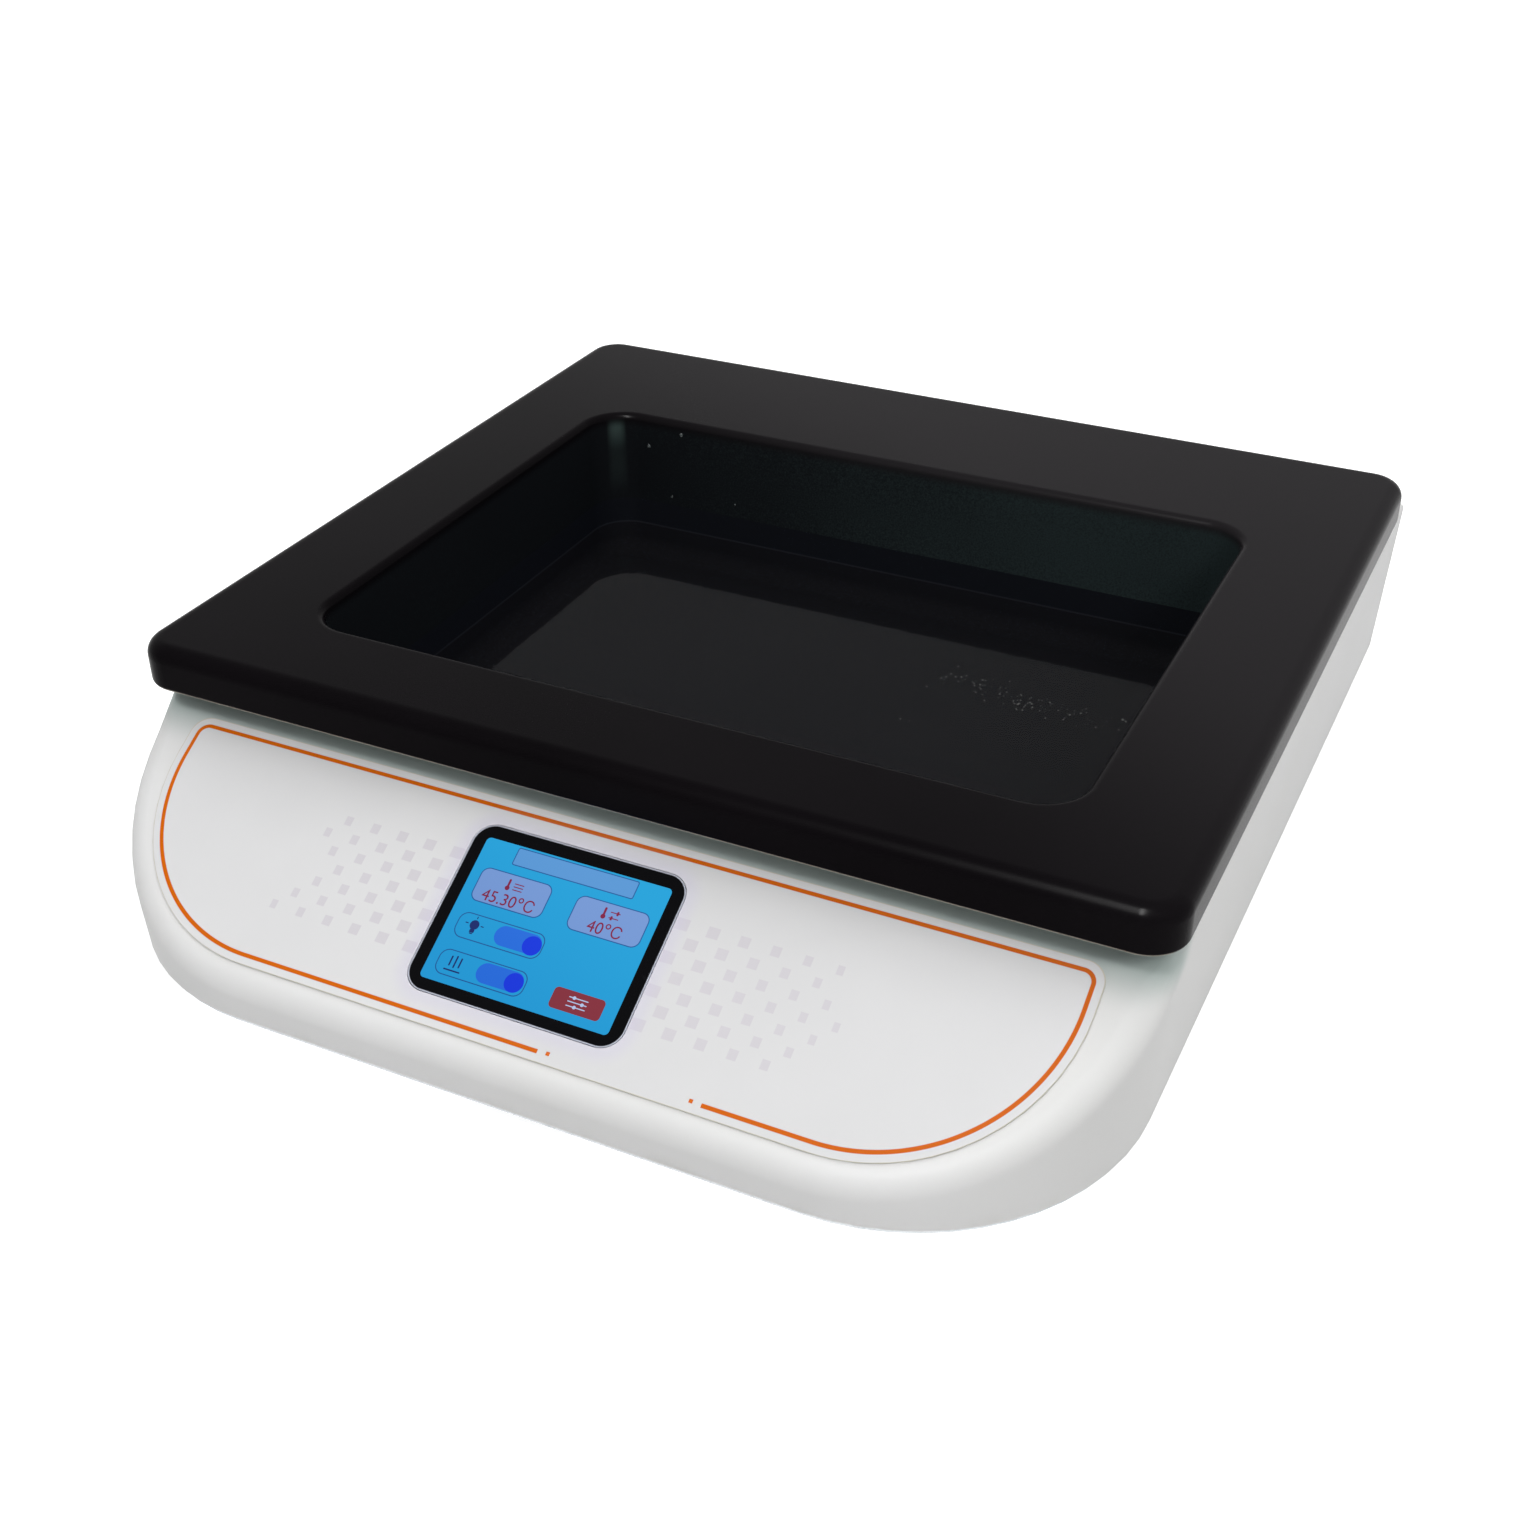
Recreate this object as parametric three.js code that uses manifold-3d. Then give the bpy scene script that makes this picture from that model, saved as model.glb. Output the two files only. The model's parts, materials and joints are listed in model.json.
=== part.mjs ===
// Laboratory water bath: a coated basin casting on a moulded housing with a sloped console.
// Millimetres, +Z up, origin at the middle of the footprint on the table.
import * as THREE from 'three';
import { mergeVertices } from 'three/addons/utils/BufferGeometryUtils.js';
import Module from 'manifold-3d';

const wasm = await Module();
wasm.setup();

// Overall heights
const totalHeight = 98;
const footHeight = 8;
const seatGap = 0.3;
const overrun = 5;

// Basin casting: flat rim with a skirt, and the bowl
const rimWidth = 384;
const rimHeight = 17;
const rimTopEdge = 6;
const rimBottomEdge = 2;
const rimCorner = 14;
const rimPlate = 4;
const skirtWall = 4;
const bowlLength = 220;
const bowlFrontMargin = 41;
const bowlBackMargin = 80;
const bowlSideMargin = 46.5;
const bowlCorner = 17;
const bowlMouthEdge = 4;
const bowlFloorHeight = 32;
const bowlFloorEdge = 8;
const bowlWall = 3.5;
const bowlFloor = 4;
const bowlDraft = 1;
const seatRibGap = 5;
const seatRibWall = 4;
const basinBossRadius = 5;
const basinBossInset = 24;
const basinBossFront = 46;
const basinBossBack = 30;

// Housing shell
const rimOverhang = 5;
const consoleReach = 70;
const backReach = 17;
const shellWall = 3;
const frontCorner = 83;
const backCorner = 4;
const wallLean = THREE.MathUtils.degToRad(3);
const consoleTopShare = 0.6633;
const consoleFrontShare = 0.2509;
const consoleEdge = 10.5;
const deckEdge = 2;
const innerEdge = 1;
const edgeBlend = 22;
const gasketThickness = 1.5;
const gasketWidth = 8;
const bowlClearance = 2;

// Base plate, feet and the screws that hold them
const baseThickness = 1.5;
const baseInset = 1;
const footRadius = 11;
const footTaper = 1.5;
const footBore = 5;
const footBoreDepth = 4.5;
const footInset = 34;
const footFrontInset = 62;
const collarRadius = 3.6;
const collarHeight = 4;
const screwRadius = 2;
const screwHeadRadius = 3.8;
const screwHeadHeight = 2.4;
const screwClearance = 0.3;
const footScrewLength = 8.8;
const shellBossRadius = 4.5;
const shellBossHeight = 11;
const shellBossLap = 1;
const shellBossFront = 157;
const shellBossBack = 91;
const baseScrewLength = 9;
const basinScrewLength = 14;
const ventLength = 34;
const ventWidth = 3.2;
const ventPitch = 8;
const ventCount = 5;
const ventFrontReach = 52;
const ventBackReach = 62;
const ventFootMargin = 55;

// Console: printed film, touch glass, display
const filmSideMargin = 16;
const filmTop = 8.6;
const filmEdgeMargin = 1;
const filmThickness = 0.5;
const filmBigCorner = 66.8;
const filmSmallCorner = 7;
const glassWidth = 80;
const glassHeight = 62;
const glassCorner = 7.7;
const glassThickness = 2;
const glassSetBack = 32.3;
const glassOffset = 5.4;
const windowLedge = 2.8;
const displayWidth = 78;
const displayHeight = 60;
const displayDepth = 4;
const displayBoardWidth = 86;
const displayBoardHeight = 66;
const displayBoardThickness = 1.6;
const standoffReach = 49;
const standoffRise = 26;
const standoffRadius = 3.5;
const bracketThickness = 1.2;
const bracketMargin = 5;
const bracketCorner = 4;
const bracketOpeningWidth = 66;
const bracketOpeningHeight = 38;
const smallScrewRadius = 1.4;
const smallHeadRadius = 2.6;
const smallHeadHeight = 1.8;
const smallScrewLength = 5.5;

// Heating under the bowl
const matSideMargin = 32.5;
const matEndMargin = 30;
const matThickness = 1.5;
const clampSideMargin = 17.5;
const clampEndMargin = 34;
const clampThickness = 1.5;
const clampCorner = 6;
const clampScrewInset = 6;
const clampBossRadius = 5;
const clampThread = 4;
const padSideMargin = 33.5;
const padEndMargin = 44;
const padCorner = 10;
const clampScrewLength = 5.8;
const probeRadius = 2.5;
const probeLength = 34;
const probeClampMargin = 16;
const probeWellLength = 26;
const probeWellWidth = 10;
const probeWellWall = 2;
const cutoutRadius = 8.5;
const cutoutHeight = 8;
const cutoutFlangeWidth = 34;
const cutoutFlangeHeight = 12;
const cutoutFlangeThickness = 1.5;
const cutoutFlangeCorner = 3;
const cutoutBossLength = 4;
const cutoutBossRadius = 3;
const cutoutBossLap = 1;
const cutoutScrewSpread = 13;
const cutoutRise = 20;
const cutoutOffset = 62;
const cutoutTabSpread = 5;

// Electronics
const boardWidth = 150;
const boardDepth = 44;
const boardThickness = 1.6;
const boardStandoff = 8;
const boardStandoffRadius = 3;
const boardHoleInset = 5;
const boardPinRadius = 1.4;
const boardPinProud = 1;
const boardAheadOfRim = 8;
const boardConnectorReach = 73;
const boardConnectorHeight = 7;
const probeConnectorX = 40;
const ribbonConnectorY = -14;
const supplyWidth = 98;
const supplyDepth = 64;
const supplyHeight = 30;
const supplyFootMargin = 6;
const supplyTabWall = 1.2;
const supplyTabLength = 16;
const supplyTabHeight = 12;
const terminalDepth = 12;
const terminalHeight = 14;
const relayWidth = 58;
const relayDepth = 45;
const relayHeight = 23;
const relayFlange = 3;
const relayBodyWidth = 38;
const relayScrewSpread = 24;
const relayTerminalReach = 10;
const partBackMargin = 16;

// Mains inlet with its fuse drawer, on the back wall
const inletSideMargin = 65;
const inletFlangeWidth = 50;
const inletFlangeHeight = 36;
const inletFlangeThickness = 2.5;
const inletCorner = 4;
const inletBodyWidth = 28;
const inletBodyHeight = 33;
const inletBodyDepth = 28;
const socketWidth = 24.5;
const socketHeight = 16.5;
const socketDepth = 16;
const socketChamfer = 4;
const socketRise = 6.4;
const pinLength = 11;
const pinWide = 4;
const pinThin = 2;
const pinSpread = 7;
const pinRise = 4;
const inletScrewSpread = 20;
const drawerWidth = 24;
const drawerHeight = 8;
const drawerDepth = 15;
const drawerDrop = 10.6;
const drawerFace = 2;
const drawerWall = 1.2;
const drawerPull = 1.2;
const drawerPullWidth = 14;
const drawerPullHeight = 1.6;
const drawerFuseReach = 6;
const fuseRadius = 2.5;
const fuseLength = 20;
const fuseCap = 5;
const fuseCapStep = 0.2;
const tabLength = 8;
const tabWidth = 6.3;
const tabThickness = 0.8;
const pinRoot = 1.5;

// Power switch
const switchSpacing = 46;
const switchFlangeWidth = 25.4;
const switchFlangeHeight = 31;
const switchFlangeThickness = 1.6;
const switchCorner = 2;
const switchBodyDepth = 17;
const switchWall = 1.6;
const rockerWidth = 19.6;
const rockerHalfHeight = 11.4;
const rockerRise = 3.4;
const rockerValley = 1.6;
const rockerSkirt = 7;
const rockerPivotDepth = 4;
const rockerPinRadius = 1.1;
const rockerPinLength = 1;
const rockerPinClearance = 0.1;
const switchTabSpread = 6;
const rockerThrow = THREE.MathUtils.degToRad(9);

// Leads
const thinLead = 1.2;
const thickLead = 1.7;
const ribbonWidth = 18;
const ribbonThickness = 0.8;
const probeLead = 1;
const leadBend = 14;
const leadClearance = 4;
const sideRunMargin = 49;
const matLeadOffset = 30;

// Board parts: x, y from the board's middle, width, depth, height
const boardParts = [
  [-67, 0, 12, 20, 7],
  [67, 0, 12, 20, 7],
  [40, 16, 14, 8, 7],
  [-5.4, -14, 24, 8, 7],
  [0, 6, 16, 16, 2],
  [-36, -6, 19, 15, 12],
  [-36, 12, 12, 9, 4],
  [28, -8, 12, 12, 3],
];
const boardPosts = [
  [-14, 14, 4, 10],
  [16, 13, 3, 8],
  [48, -10, 5, 11],
];

// Facets
const cornerSteps = 6;
const bigCornerSteps = 14;
const edgeSteps = 4;
const boreSides = 12;
const smallSides = 8;
const footSides = 20;
const plainSteps = 3;
const leadStepsPerPoint = 4;
const weldDistance = 0.0005;

// Places worked out from the sizes
const rimDepth = bowlFrontMargin + bowlLength + bowlBackMargin;
const bowlWidth = rimWidth - 2 * bowlSideMargin;
const housingWidth = rimWidth - 2 * rimOverhang;
const leanSlope = Math.tan(wallLean);
const consoleTopZ = totalHeight * consoleTopShare;
const consoleFrontZ = totalHeight * consoleFrontShare;
const consoleTilt = Math.atan2(consoleTopZ - consoleFrontZ, consoleReach);
const tiltSlope = Math.tan(consoleTilt);
const consoleEdgeTangent = consoleEdge * Math.tan((Math.PI / 2 - consoleTilt) / 2);
const rimTopZ = totalHeight;
const rimUnderZ = rimTopZ - rimHeight;
const deckZ = rimUnderZ - gasketThickness - 2 * seatGap;
const shellBottomZ = footHeight + baseThickness + seatGap;
const baseTopZ = footHeight + baseThickness;
const frontTurnZ = consoleFrontZ - consoleEdgeTangent;
const frontSwell = leanSlope * (frontTurnZ - shellBottomZ);
const rockerTip = rockerPivotDepth + rockerRise;
const rockerProud = seatGap + switchFlangeThickness - rockerPivotDepth
  + rockerTip * Math.cos(rockerThrow) + rockerHalfHeight * Math.sin(rockerThrow);
const switchBodyWidth = rockerWidth + 2 * (seatGap + switchWall);
const switchBodyHeight = 2 * (rockerHalfHeight * Math.cos(rockerThrow) + rockerTip * Math.sin(rockerThrow)
  + seatGap + switchWall);
const rimCentreY = (consoleReach + frontSwell - backReach - rockerProud) / 2;
const rimFrontY = rimCentreY - rimDepth / 2;
const rimBackY = rimCentreY + rimDepth / 2;
const housingFrontY = rimFrontY - consoleReach;
const housingBackY = rimBackY + backReach;
const deckFrontY = rimFrontY + (deckZ - consoleTopZ) / tiltSlope;
const bowlFrontY = rimFrontY + bowlFrontMargin;
const bowlBackY = bowlFrontY + bowlLength;
const bowlCentreY = (bowlFrontY + bowlBackY) / 2;
const bowlFloorZ = bowlFloorHeight;
const bowlUnderZ = bowlFloorZ - bowlFloor;
const matTopZ = bowlUnderZ - seatGap;
const clampTopZ = matTopZ - matThickness - seatGap;
const clampUnderZ = clampTopZ - clampThickness;
const innerBackY = housingBackY - shellWall;
const footX = housingWidth / 2 - footInset;
const inletHeight = (shellBottomZ + deckZ) / 2;
const inletOffset = housingWidth / 2 - inletSideMargin;
const switchOffset = inletOffset - switchSpacing;
const supplyOffset = footX - supplyFootMargin - supplyWidth / 2;
const supplyEndX = supplyWidth / 2 - supplyOffset;
const relayOffset = (supplyEndX + switchOffset) / 2;
const filmHalfWidth = housingWidth / 2 - filmSideMargin;
const filmBottom = consoleReach / Math.cos(consoleTilt) - consoleEdgeTangent - filmEdgeMargin;
const clampWidth = bowlWidth - 2 * clampSideMargin;
const clampLength = bowlLength - 2 * clampEndMargin;
const consoleMatrix = new THREE.Matrix4().makeRotationX(consoleTilt).setPosition(0, rimFrontY, consoleTopZ);

// Finishes
const finishes = {
  coating: { color: 0x1c1c1f, roughness: 0.5, metalness: 0.2 },
  whiteShell: { color: 0xe9eaea, roughness: 0.4, metalness: 0 },
  film: { color: 0xf2f3f5, roughness: 0.25, metalness: 0 },
  glass: { color: 0x0c0c10, roughness: 0.1, metalness: 0 },
  screen: { color: 0x39b6e6, roughness: 0.3, metalness: 0 },
  zinc: { color: 0xb4b8bc, roughness: 0.35, metalness: 1 },
  steel: { color: 0xc9ccce, roughness: 0.3, metalness: 1 },
  rubber: { color: 0x1a1a1b, roughness: 0.85, metalness: 0 },
  gasket: { color: 0x6b5646, roughness: 0.8, metalness: 0 },
  heater: { color: 0xb4532a, roughness: 0.7, metalness: 0 },
  wool: { color: 0xd9cda2, roughness: 0.95, metalness: 0 },
  board: { color: 0x1f6a3a, roughness: 0.5, metalness: 0 },
  blackPlastic: { color: 0x141416, roughness: 0.45, metalness: 0 },
  glassTube: { color: 0xdfe7ea, roughness: 0.1, metalness: 0 },
  greyLead: { color: 0x8d9094, roughness: 0.6, metalness: 0 },
  redLead: { color: 0xa82a25, roughness: 0.6, metalness: 0 },
  blueLead: { color: 0x2b4fa0, roughness: 0.6, metalness: 0 },
};

// Geometry to solid and back
function solidOf(geometry, matrix) {
  const bare = geometry.clone();
  if (matrix) bare.applyMatrix4(matrix);
  for (const name of Object.keys(bare.attributes)) {
    if (name !== 'position') bare.deleteAttribute(name);
  }
  const merged = mergeVertices(bare, weldDistance);
  const vertProperties = new Float32Array(merged.attributes.position.array);
  const triVerts = new Uint32Array(merged.index.array);
  return new wasm.Manifold(new wasm.Mesh({ numProp: 3, vertProperties, triVerts }));
}

function geometryOf(solid) {
  const { vertProperties, triVerts } = solid.getMesh();
  const geometry = new THREE.BufferGeometry();
  geometry.setAttribute('position', new THREE.BufferAttribute(vertProperties, 3));
  geometry.setIndex(new THREE.BufferAttribute(triVerts, 1));
  geometry.computeVertexNormals();
  return geometry;
}

function joined(solids) {
  return solids.reduce((sum, solid) => sum.add(solid));
}

function cutAway(solid, cutters) {
  return cutters.reduce((rest, cutter) => rest.subtract(cutter), solid);
}

// A closed outline of points with outward normals, anticlockwise from the front right corner
function roundedOutline({ minX, maxX, minY, maxY, front, back, frontSteps, backSteps, sideStops = [] }) {
  const points = [];
  const corner = (centreX, centreY, radius, start, steps) => {
    for (let step = 0; step <= steps; step += 1) {
      const angle = start + (Math.PI / 2) * (step / steps);
      const normalX = Math.cos(angle);
      const normalY = Math.sin(angle);
      points.push({ x: centreX + radius * normalX, y: centreY + radius * normalY, normalX, normalY });
    }
  };
  corner(maxX - front, minY + front, front, -Math.PI / 2, frontSteps);
  for (const y of sideStops) points.push({ x: maxX, y, normalX: 1, normalY: 0 });
  corner(maxX - back, maxY - back, back, 0, backSteps);
  corner(minX + back, maxY - back, back, Math.PI / 2, backSteps);
  for (const y of [...sideStops].reverse()) points.push({ x: minX, y, normalX: -1, normalY: 0 });
  corner(minX + front, minY + front, front, Math.PI, frontSteps);
  return points;
}

function plainOutline(width, minY, maxY, radius, steps = cornerSteps) {
  return roundedOutline({
    minX: -width / 2,
    maxX: width / 2,
    minY,
    maxY,
    front: radius,
    back: radius,
    frontSteps: steps,
    backSteps: steps,
  });
}

// One level ring of an outline, moved in by an inset
function levelRing(outline, inset, z) {
  return outline.map((p) => new THREE.Vector3(p.x - p.normalX * inset, p.y - p.normalY * inset, z));
}

// A closed solid through rings that run from the bottom up; a bent top names its flat parts
function ringLoft(rings, topParts) {
  const count = rings[0].length;
  const positions = rings.flat().flatMap((p) => [p.x, p.y, p.z]);
  const indices = [];
  for (let level = 0; level + 1 < rings.length; level += 1) {
    for (let side = 0; side < count; side += 1) {
      const next = (side + 1) % count;
      const low = level * count;
      const high = low + count;
      indices.push(low + side, low + next, high + next, low + side, high + next, high + side);
    }
  }
  const cap = (ring, offset, members, flip) => {
    const contour = members.map((member) => new THREE.Vector2(ring[member].x, ring[member].y));
    for (const [a, b, c] of THREE.ShapeUtils.triangulateShape(contour, [])) {
      const [first, second, third] = [a, b, c].map((corner) => offset + members[corner]);
      indices.push(first, flip ? third : second, flip ? second : third);
    }
  };
  const all = [...Array(count).keys()];
  cap(rings[0], 0, all, true);
  for (const part of topParts ?? [all]) cap(rings.at(-1), (rings.length - 1) * count, part, false);
  const geometry = new THREE.BufferGeometry();
  geometry.setAttribute('position', new THREE.Float32BufferAttribute(positions, 3));
  geometry.setIndex(indices);
  return geometry;
}

// Rings of a rounded lower or upper edge
function edgeRings(outline, inset, z, radius, upper) {
  const rings = [];
  for (let step = 0; step <= edgeSteps; step += 1) {
    const turn = (Math.PI / 2) * (step / edgeSteps);
    const angle = upper ? turn : Math.PI / 2 - turn;
    const drawIn = radius * (1 - Math.cos(angle));
    const rise = radius * (1 - Math.sin(angle));
    rings.push(levelRing(outline, inset + drawIn, upper ? z - rise : z + rise));
  }
  return rings;
}

function prism(outline, inset, bottom, top) {
  return solidOf(ringLoft([levelRing(outline, inset, bottom), levelRing(outline, inset, top)]));
}

function box(width, depth, height, x, y, z) {
  return new THREE.BoxGeometry(width, depth, height).translate(x, y, z);
}

// An upright round bar, its foot at z
function bar(radius, height, x, y, z, sides = boreSides) {
  return new THREE.CylinderGeometry(radius, radius, height, sides)
    .rotateX(Math.PI / 2)
    .translate(x, y, z + height / 2);
}

// A round bar along Y from its front face
function barAlongY(radius, length, x, y, z, sides = boreSides) {
  return new THREE.CylinderGeometry(radius, radius, length, sides).translate(x, y + length / 2, z);
}

// A round bar along X about its middle
function barAlongX(radius, length, x, y, z, sides = boreSides) {
  return new THREE.CylinderGeometry(radius, radius, length, sides).rotateZ(Math.PI / 2).translate(x, y, z);
}

// A screw standing on its tip at the origin, with its head at the top
function screwGeometry(radius, length, headRadius, headHeight) {
  const profile = [
    new THREE.Vector2(0, 0),
    new THREE.Vector2(radius, 0),
    new THREE.Vector2(radius, length),
    new THREE.Vector2(headRadius, length),
    new THREE.Vector2(headRadius, length + headHeight),
    new THREE.Vector2(0, length + headHeight),
  ];
  return new THREE.LatheGeometry(profile, smallSides).rotateX(Math.PI / 2);
}

function roundedShape(width, height, radius) {
  const shape = new THREE.Shape();
  const halfWidth = width / 2;
  const halfHeight = height / 2;
  shape.moveTo(-halfWidth + radius, -halfHeight);
  shape.absarc(halfWidth - radius, -halfHeight + radius, radius, -Math.PI / 2, 0);
  shape.absarc(halfWidth - radius, halfHeight - radius, radius, 0, Math.PI / 2);
  shape.absarc(-halfWidth + radius, halfHeight - radius, radius, Math.PI / 2, Math.PI);
  shape.absarc(-halfWidth + radius, -halfHeight + radius, radius, Math.PI, 1.5 * Math.PI);
  return shape;
}

function plateOf(shape, thickness, steps = cornerSteps) {
  return new THREE.ExtrudeGeometry(shape, { depth: thickness, bevelEnabled: false, curveSegments: steps });
}

// The same plate standing on the back wall, its face towards +Y, from a near face
function wallPlate(shape, thickness, x, y, z) {
  return plateOf(shape, thickness, plainSteps).rotateX(Math.PI / 2).translate(x, y + thickness, z);
}

// A lead along a smooth route, round or flat
function leadGeometry(points, section, steps) {
  const stops = points.map(([x, y, z]) => new THREE.Vector3(x, y, z));
  const extrudePath = new THREE.CatmullRomCurve3(stops, false, 'centripetal');
  return new THREE.ExtrudeGeometry(section, { steps, extrudePath, curveSegments: 2, bevelEnabled: false });
}

function roundSection(radius) {
  const shape = new THREE.Shape();
  shape.absarc(0, 0, radius, 0, 2 * Math.PI);
  return shape;
}

const group = new THREE.Group();
const consoleGroup = new THREE.Group();
consoleGroup.applyMatrix4(consoleMatrix);
group.add(consoleGroup);

function addPiece(name, geometry, finish, parent = group) {
  const mesh = new THREE.Mesh(geometry, new THREE.MeshStandardMaterial(finishes[finish]));
  mesh.name = name;
  parent.add(mesh);
  return mesh;
}

// The bowl, shared by the basin, its gasket and the opening in the housing
const bowlOutline = plainOutline(bowlWidth, bowlFrontY, bowlBackY, bowlCorner);
const plateUnderZ = rimTopZ - rimPlate;
const plateMidZ = rimTopZ - rimPlate / 2;
const basinScrewSeatZ = deckZ - shellWall - seatGap;
const basinScrewTipZ = basinScrewSeatZ + basinScrewLength;
const basinBossPlaces = [-1, 1].flatMap((side) => [
  [side * (rimWidth / 2 - basinBossInset), rimFrontY + basinBossFront],
  [side * (rimWidth / 2 - basinBossInset), rimBackY - basinBossBack],
]);
const clampReachX = clampWidth / 2 - clampScrewInset;
const clampReachY = clampLength / 2 - clampScrewInset;
const clampPlaces = [-1, 1].flatMap((side) => [
  [side * clampReachX, bowlCentreY - clampReachY],
  [side * clampReachX, bowlCentreY + clampReachY],
]);
const probeY = bowlCentreY - clampLength / 2 - probeClampMargin;
const probeZ = bowlUnderZ - 2 * seatGap - probeRadius;
const bowlBackFaceY = bowlBackY + bowlWall;
const cutoutZ = bowlUnderZ + cutoutRise;
const cornerNames = ['front_left', 'back_left', 'front_right', 'back_right'];

// Rings of the bowl's rounded mouth, from the wall out to the rim's top
function mouthRings(outline, top, radius) {
  const rings = [];
  for (let step = 0; step <= edgeSteps; step += 1) {
    const turn = (Math.PI / 2) * (step / edgeSteps);
    rings.push(levelRing(outline, -radius * (1 - Math.cos(turn)), top - radius * (1 - Math.sin(turn))));
  }
  return rings;
}

// Basin: one casting, the skirted rim round a bowl with a rounded floor
function buildBasin() {
  const rim = plainOutline(rimWidth, rimFrontY, rimBackY, rimCorner);
  const slab = solidOf(ringLoft([
    ...edgeRings(rim, 0, rimUnderZ, rimBottomEdge, false),
    ...edgeRings(rim, 0, rimTopZ, rimTopEdge, true),
  ]));
  const hollow = prism(rim, skirtWall, rimUnderZ - overrun, plateUnderZ);
  const ribInner = bowlWall + seatRibGap;
  const rib = prism(bowlOutline, -(ribInner + seatRibWall), rimUnderZ, plateMidZ)
    .subtract(prism(bowlOutline, -ribInner, rimUnderZ - overrun, rimTopZ));
  const bowlBody = solidOf(ringLoft([
    ...edgeRings(bowlOutline, -bowlWall, bowlUnderZ, bowlFloorEdge + bowlWall, false),
    levelRing(bowlOutline, -bowlWall, plateMidZ),
  ]));
  const rimBossZ = deckZ + seatGap;
  const rimBosses = basinBossPlaces.map(([x, y]) => (
    solidOf(bar(basinBossRadius, plateMidZ - rimBossZ, x, y, rimBossZ))
  ));
  const clampBossZ = clampTopZ + seatGap;
  const floorMidZ = bowlUnderZ + bowlFloor / 2;
  const clampBosses = clampPlaces.map(([x, y]) => (
    solidOf(bar(clampBossRadius, floorMidZ - clampBossZ, x, y, clampBossZ))
  ));
  const wellHeight = floorMidZ - probeZ + probeRadius + seatGap + probeWellWall;
  const wellZ = floorMidZ - wellHeight / 2;
  const well = solidOf(box(probeWellLength, probeWellWidth, wellHeight, 0, probeY, wellZ));
  const wellBore = solidOf(barAlongX(probeRadius + seatGap, probeLength + overrun, 0, probeY, probeZ));
  const cutoutBosses = [-1, 1].map((side) => solidOf(barAlongY(
    cutoutBossRadius, cutoutBossLength + cutoutBossLap,
    cutoutOffset + side * cutoutScrewSpread, bowlBackFaceY - cutoutBossLap, cutoutZ,
  )));
  const inside = solidOf(ringLoft([
    ...edgeRings(bowlOutline, bowlDraft, bowlFloorZ, bowlFloorEdge, false),
    ...mouthRings(bowlOutline, rimTopZ, bowlMouthEdge),
    levelRing(bowlOutline, -bowlMouthEdge, rimTopZ + overrun),
  ]));
  const boreRadius = screwRadius + screwClearance;
  const rimBores = basinBossPlaces.map(([x, y]) => (
    solidOf(bar(boreRadius, basinScrewTipZ + seatGap - deckZ, x, y, deckZ))
  ));
  const clampBores = clampPlaces.map(([x, y]) => (
    solidOf(bar(boreRadius, clampThread + seatGap, x, y, clampTopZ))
  ));
  const cutoutBores = [-1, 1].map((side) => solidOf(barAlongY(
    smallScrewRadius + screwClearance, cutoutBossLength,
    cutoutOffset + side * cutoutScrewSpread, bowlBackFaceY + seatGap, cutoutZ, smallSides,
  )));
  const body = joined([
    slab.subtract(hollow.subtract(rib)), bowlBody, ...rimBosses, ...clampBosses, ...cutoutBosses, well,
  ]);
  return geometryOf(cutAway(body, [inside, ...rimBores, ...clampBores, ...cutoutBores, wellBore]));
}

// Gasket under the basin's seat rib
function buildGasket() {
  const middle = bowlWall + seatRibGap + seatRibWall / 2;
  const bottom = deckZ + seatGap;
  const outer = prism(bowlOutline, -(middle + gasketWidth / 2), bottom, bottom + gasketThickness);
  const inner = prism(bowlOutline, gasketWidth / 2 - middle, bottom - overrun, bottom + overrun);
  return geometryOf(outer.subtract(inner));
}

// Housing outline at the table, drawn in by a wall; its side stops mark where the console meets the deck
function housingOutline(wall, creaseY) {
  return roundedOutline({
    minX: wall - housingWidth / 2,
    maxX: housingWidth / 2 - wall,
    minY: housingFrontY + wall,
    maxY: housingBackY - wall,
    front: frontCorner - wall,
    back: backCorner - wall,
    frontSteps: bigCornerSteps,
    backSteps: edgeSteps,
    sideStops: [creaseY],
  });
}

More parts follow.
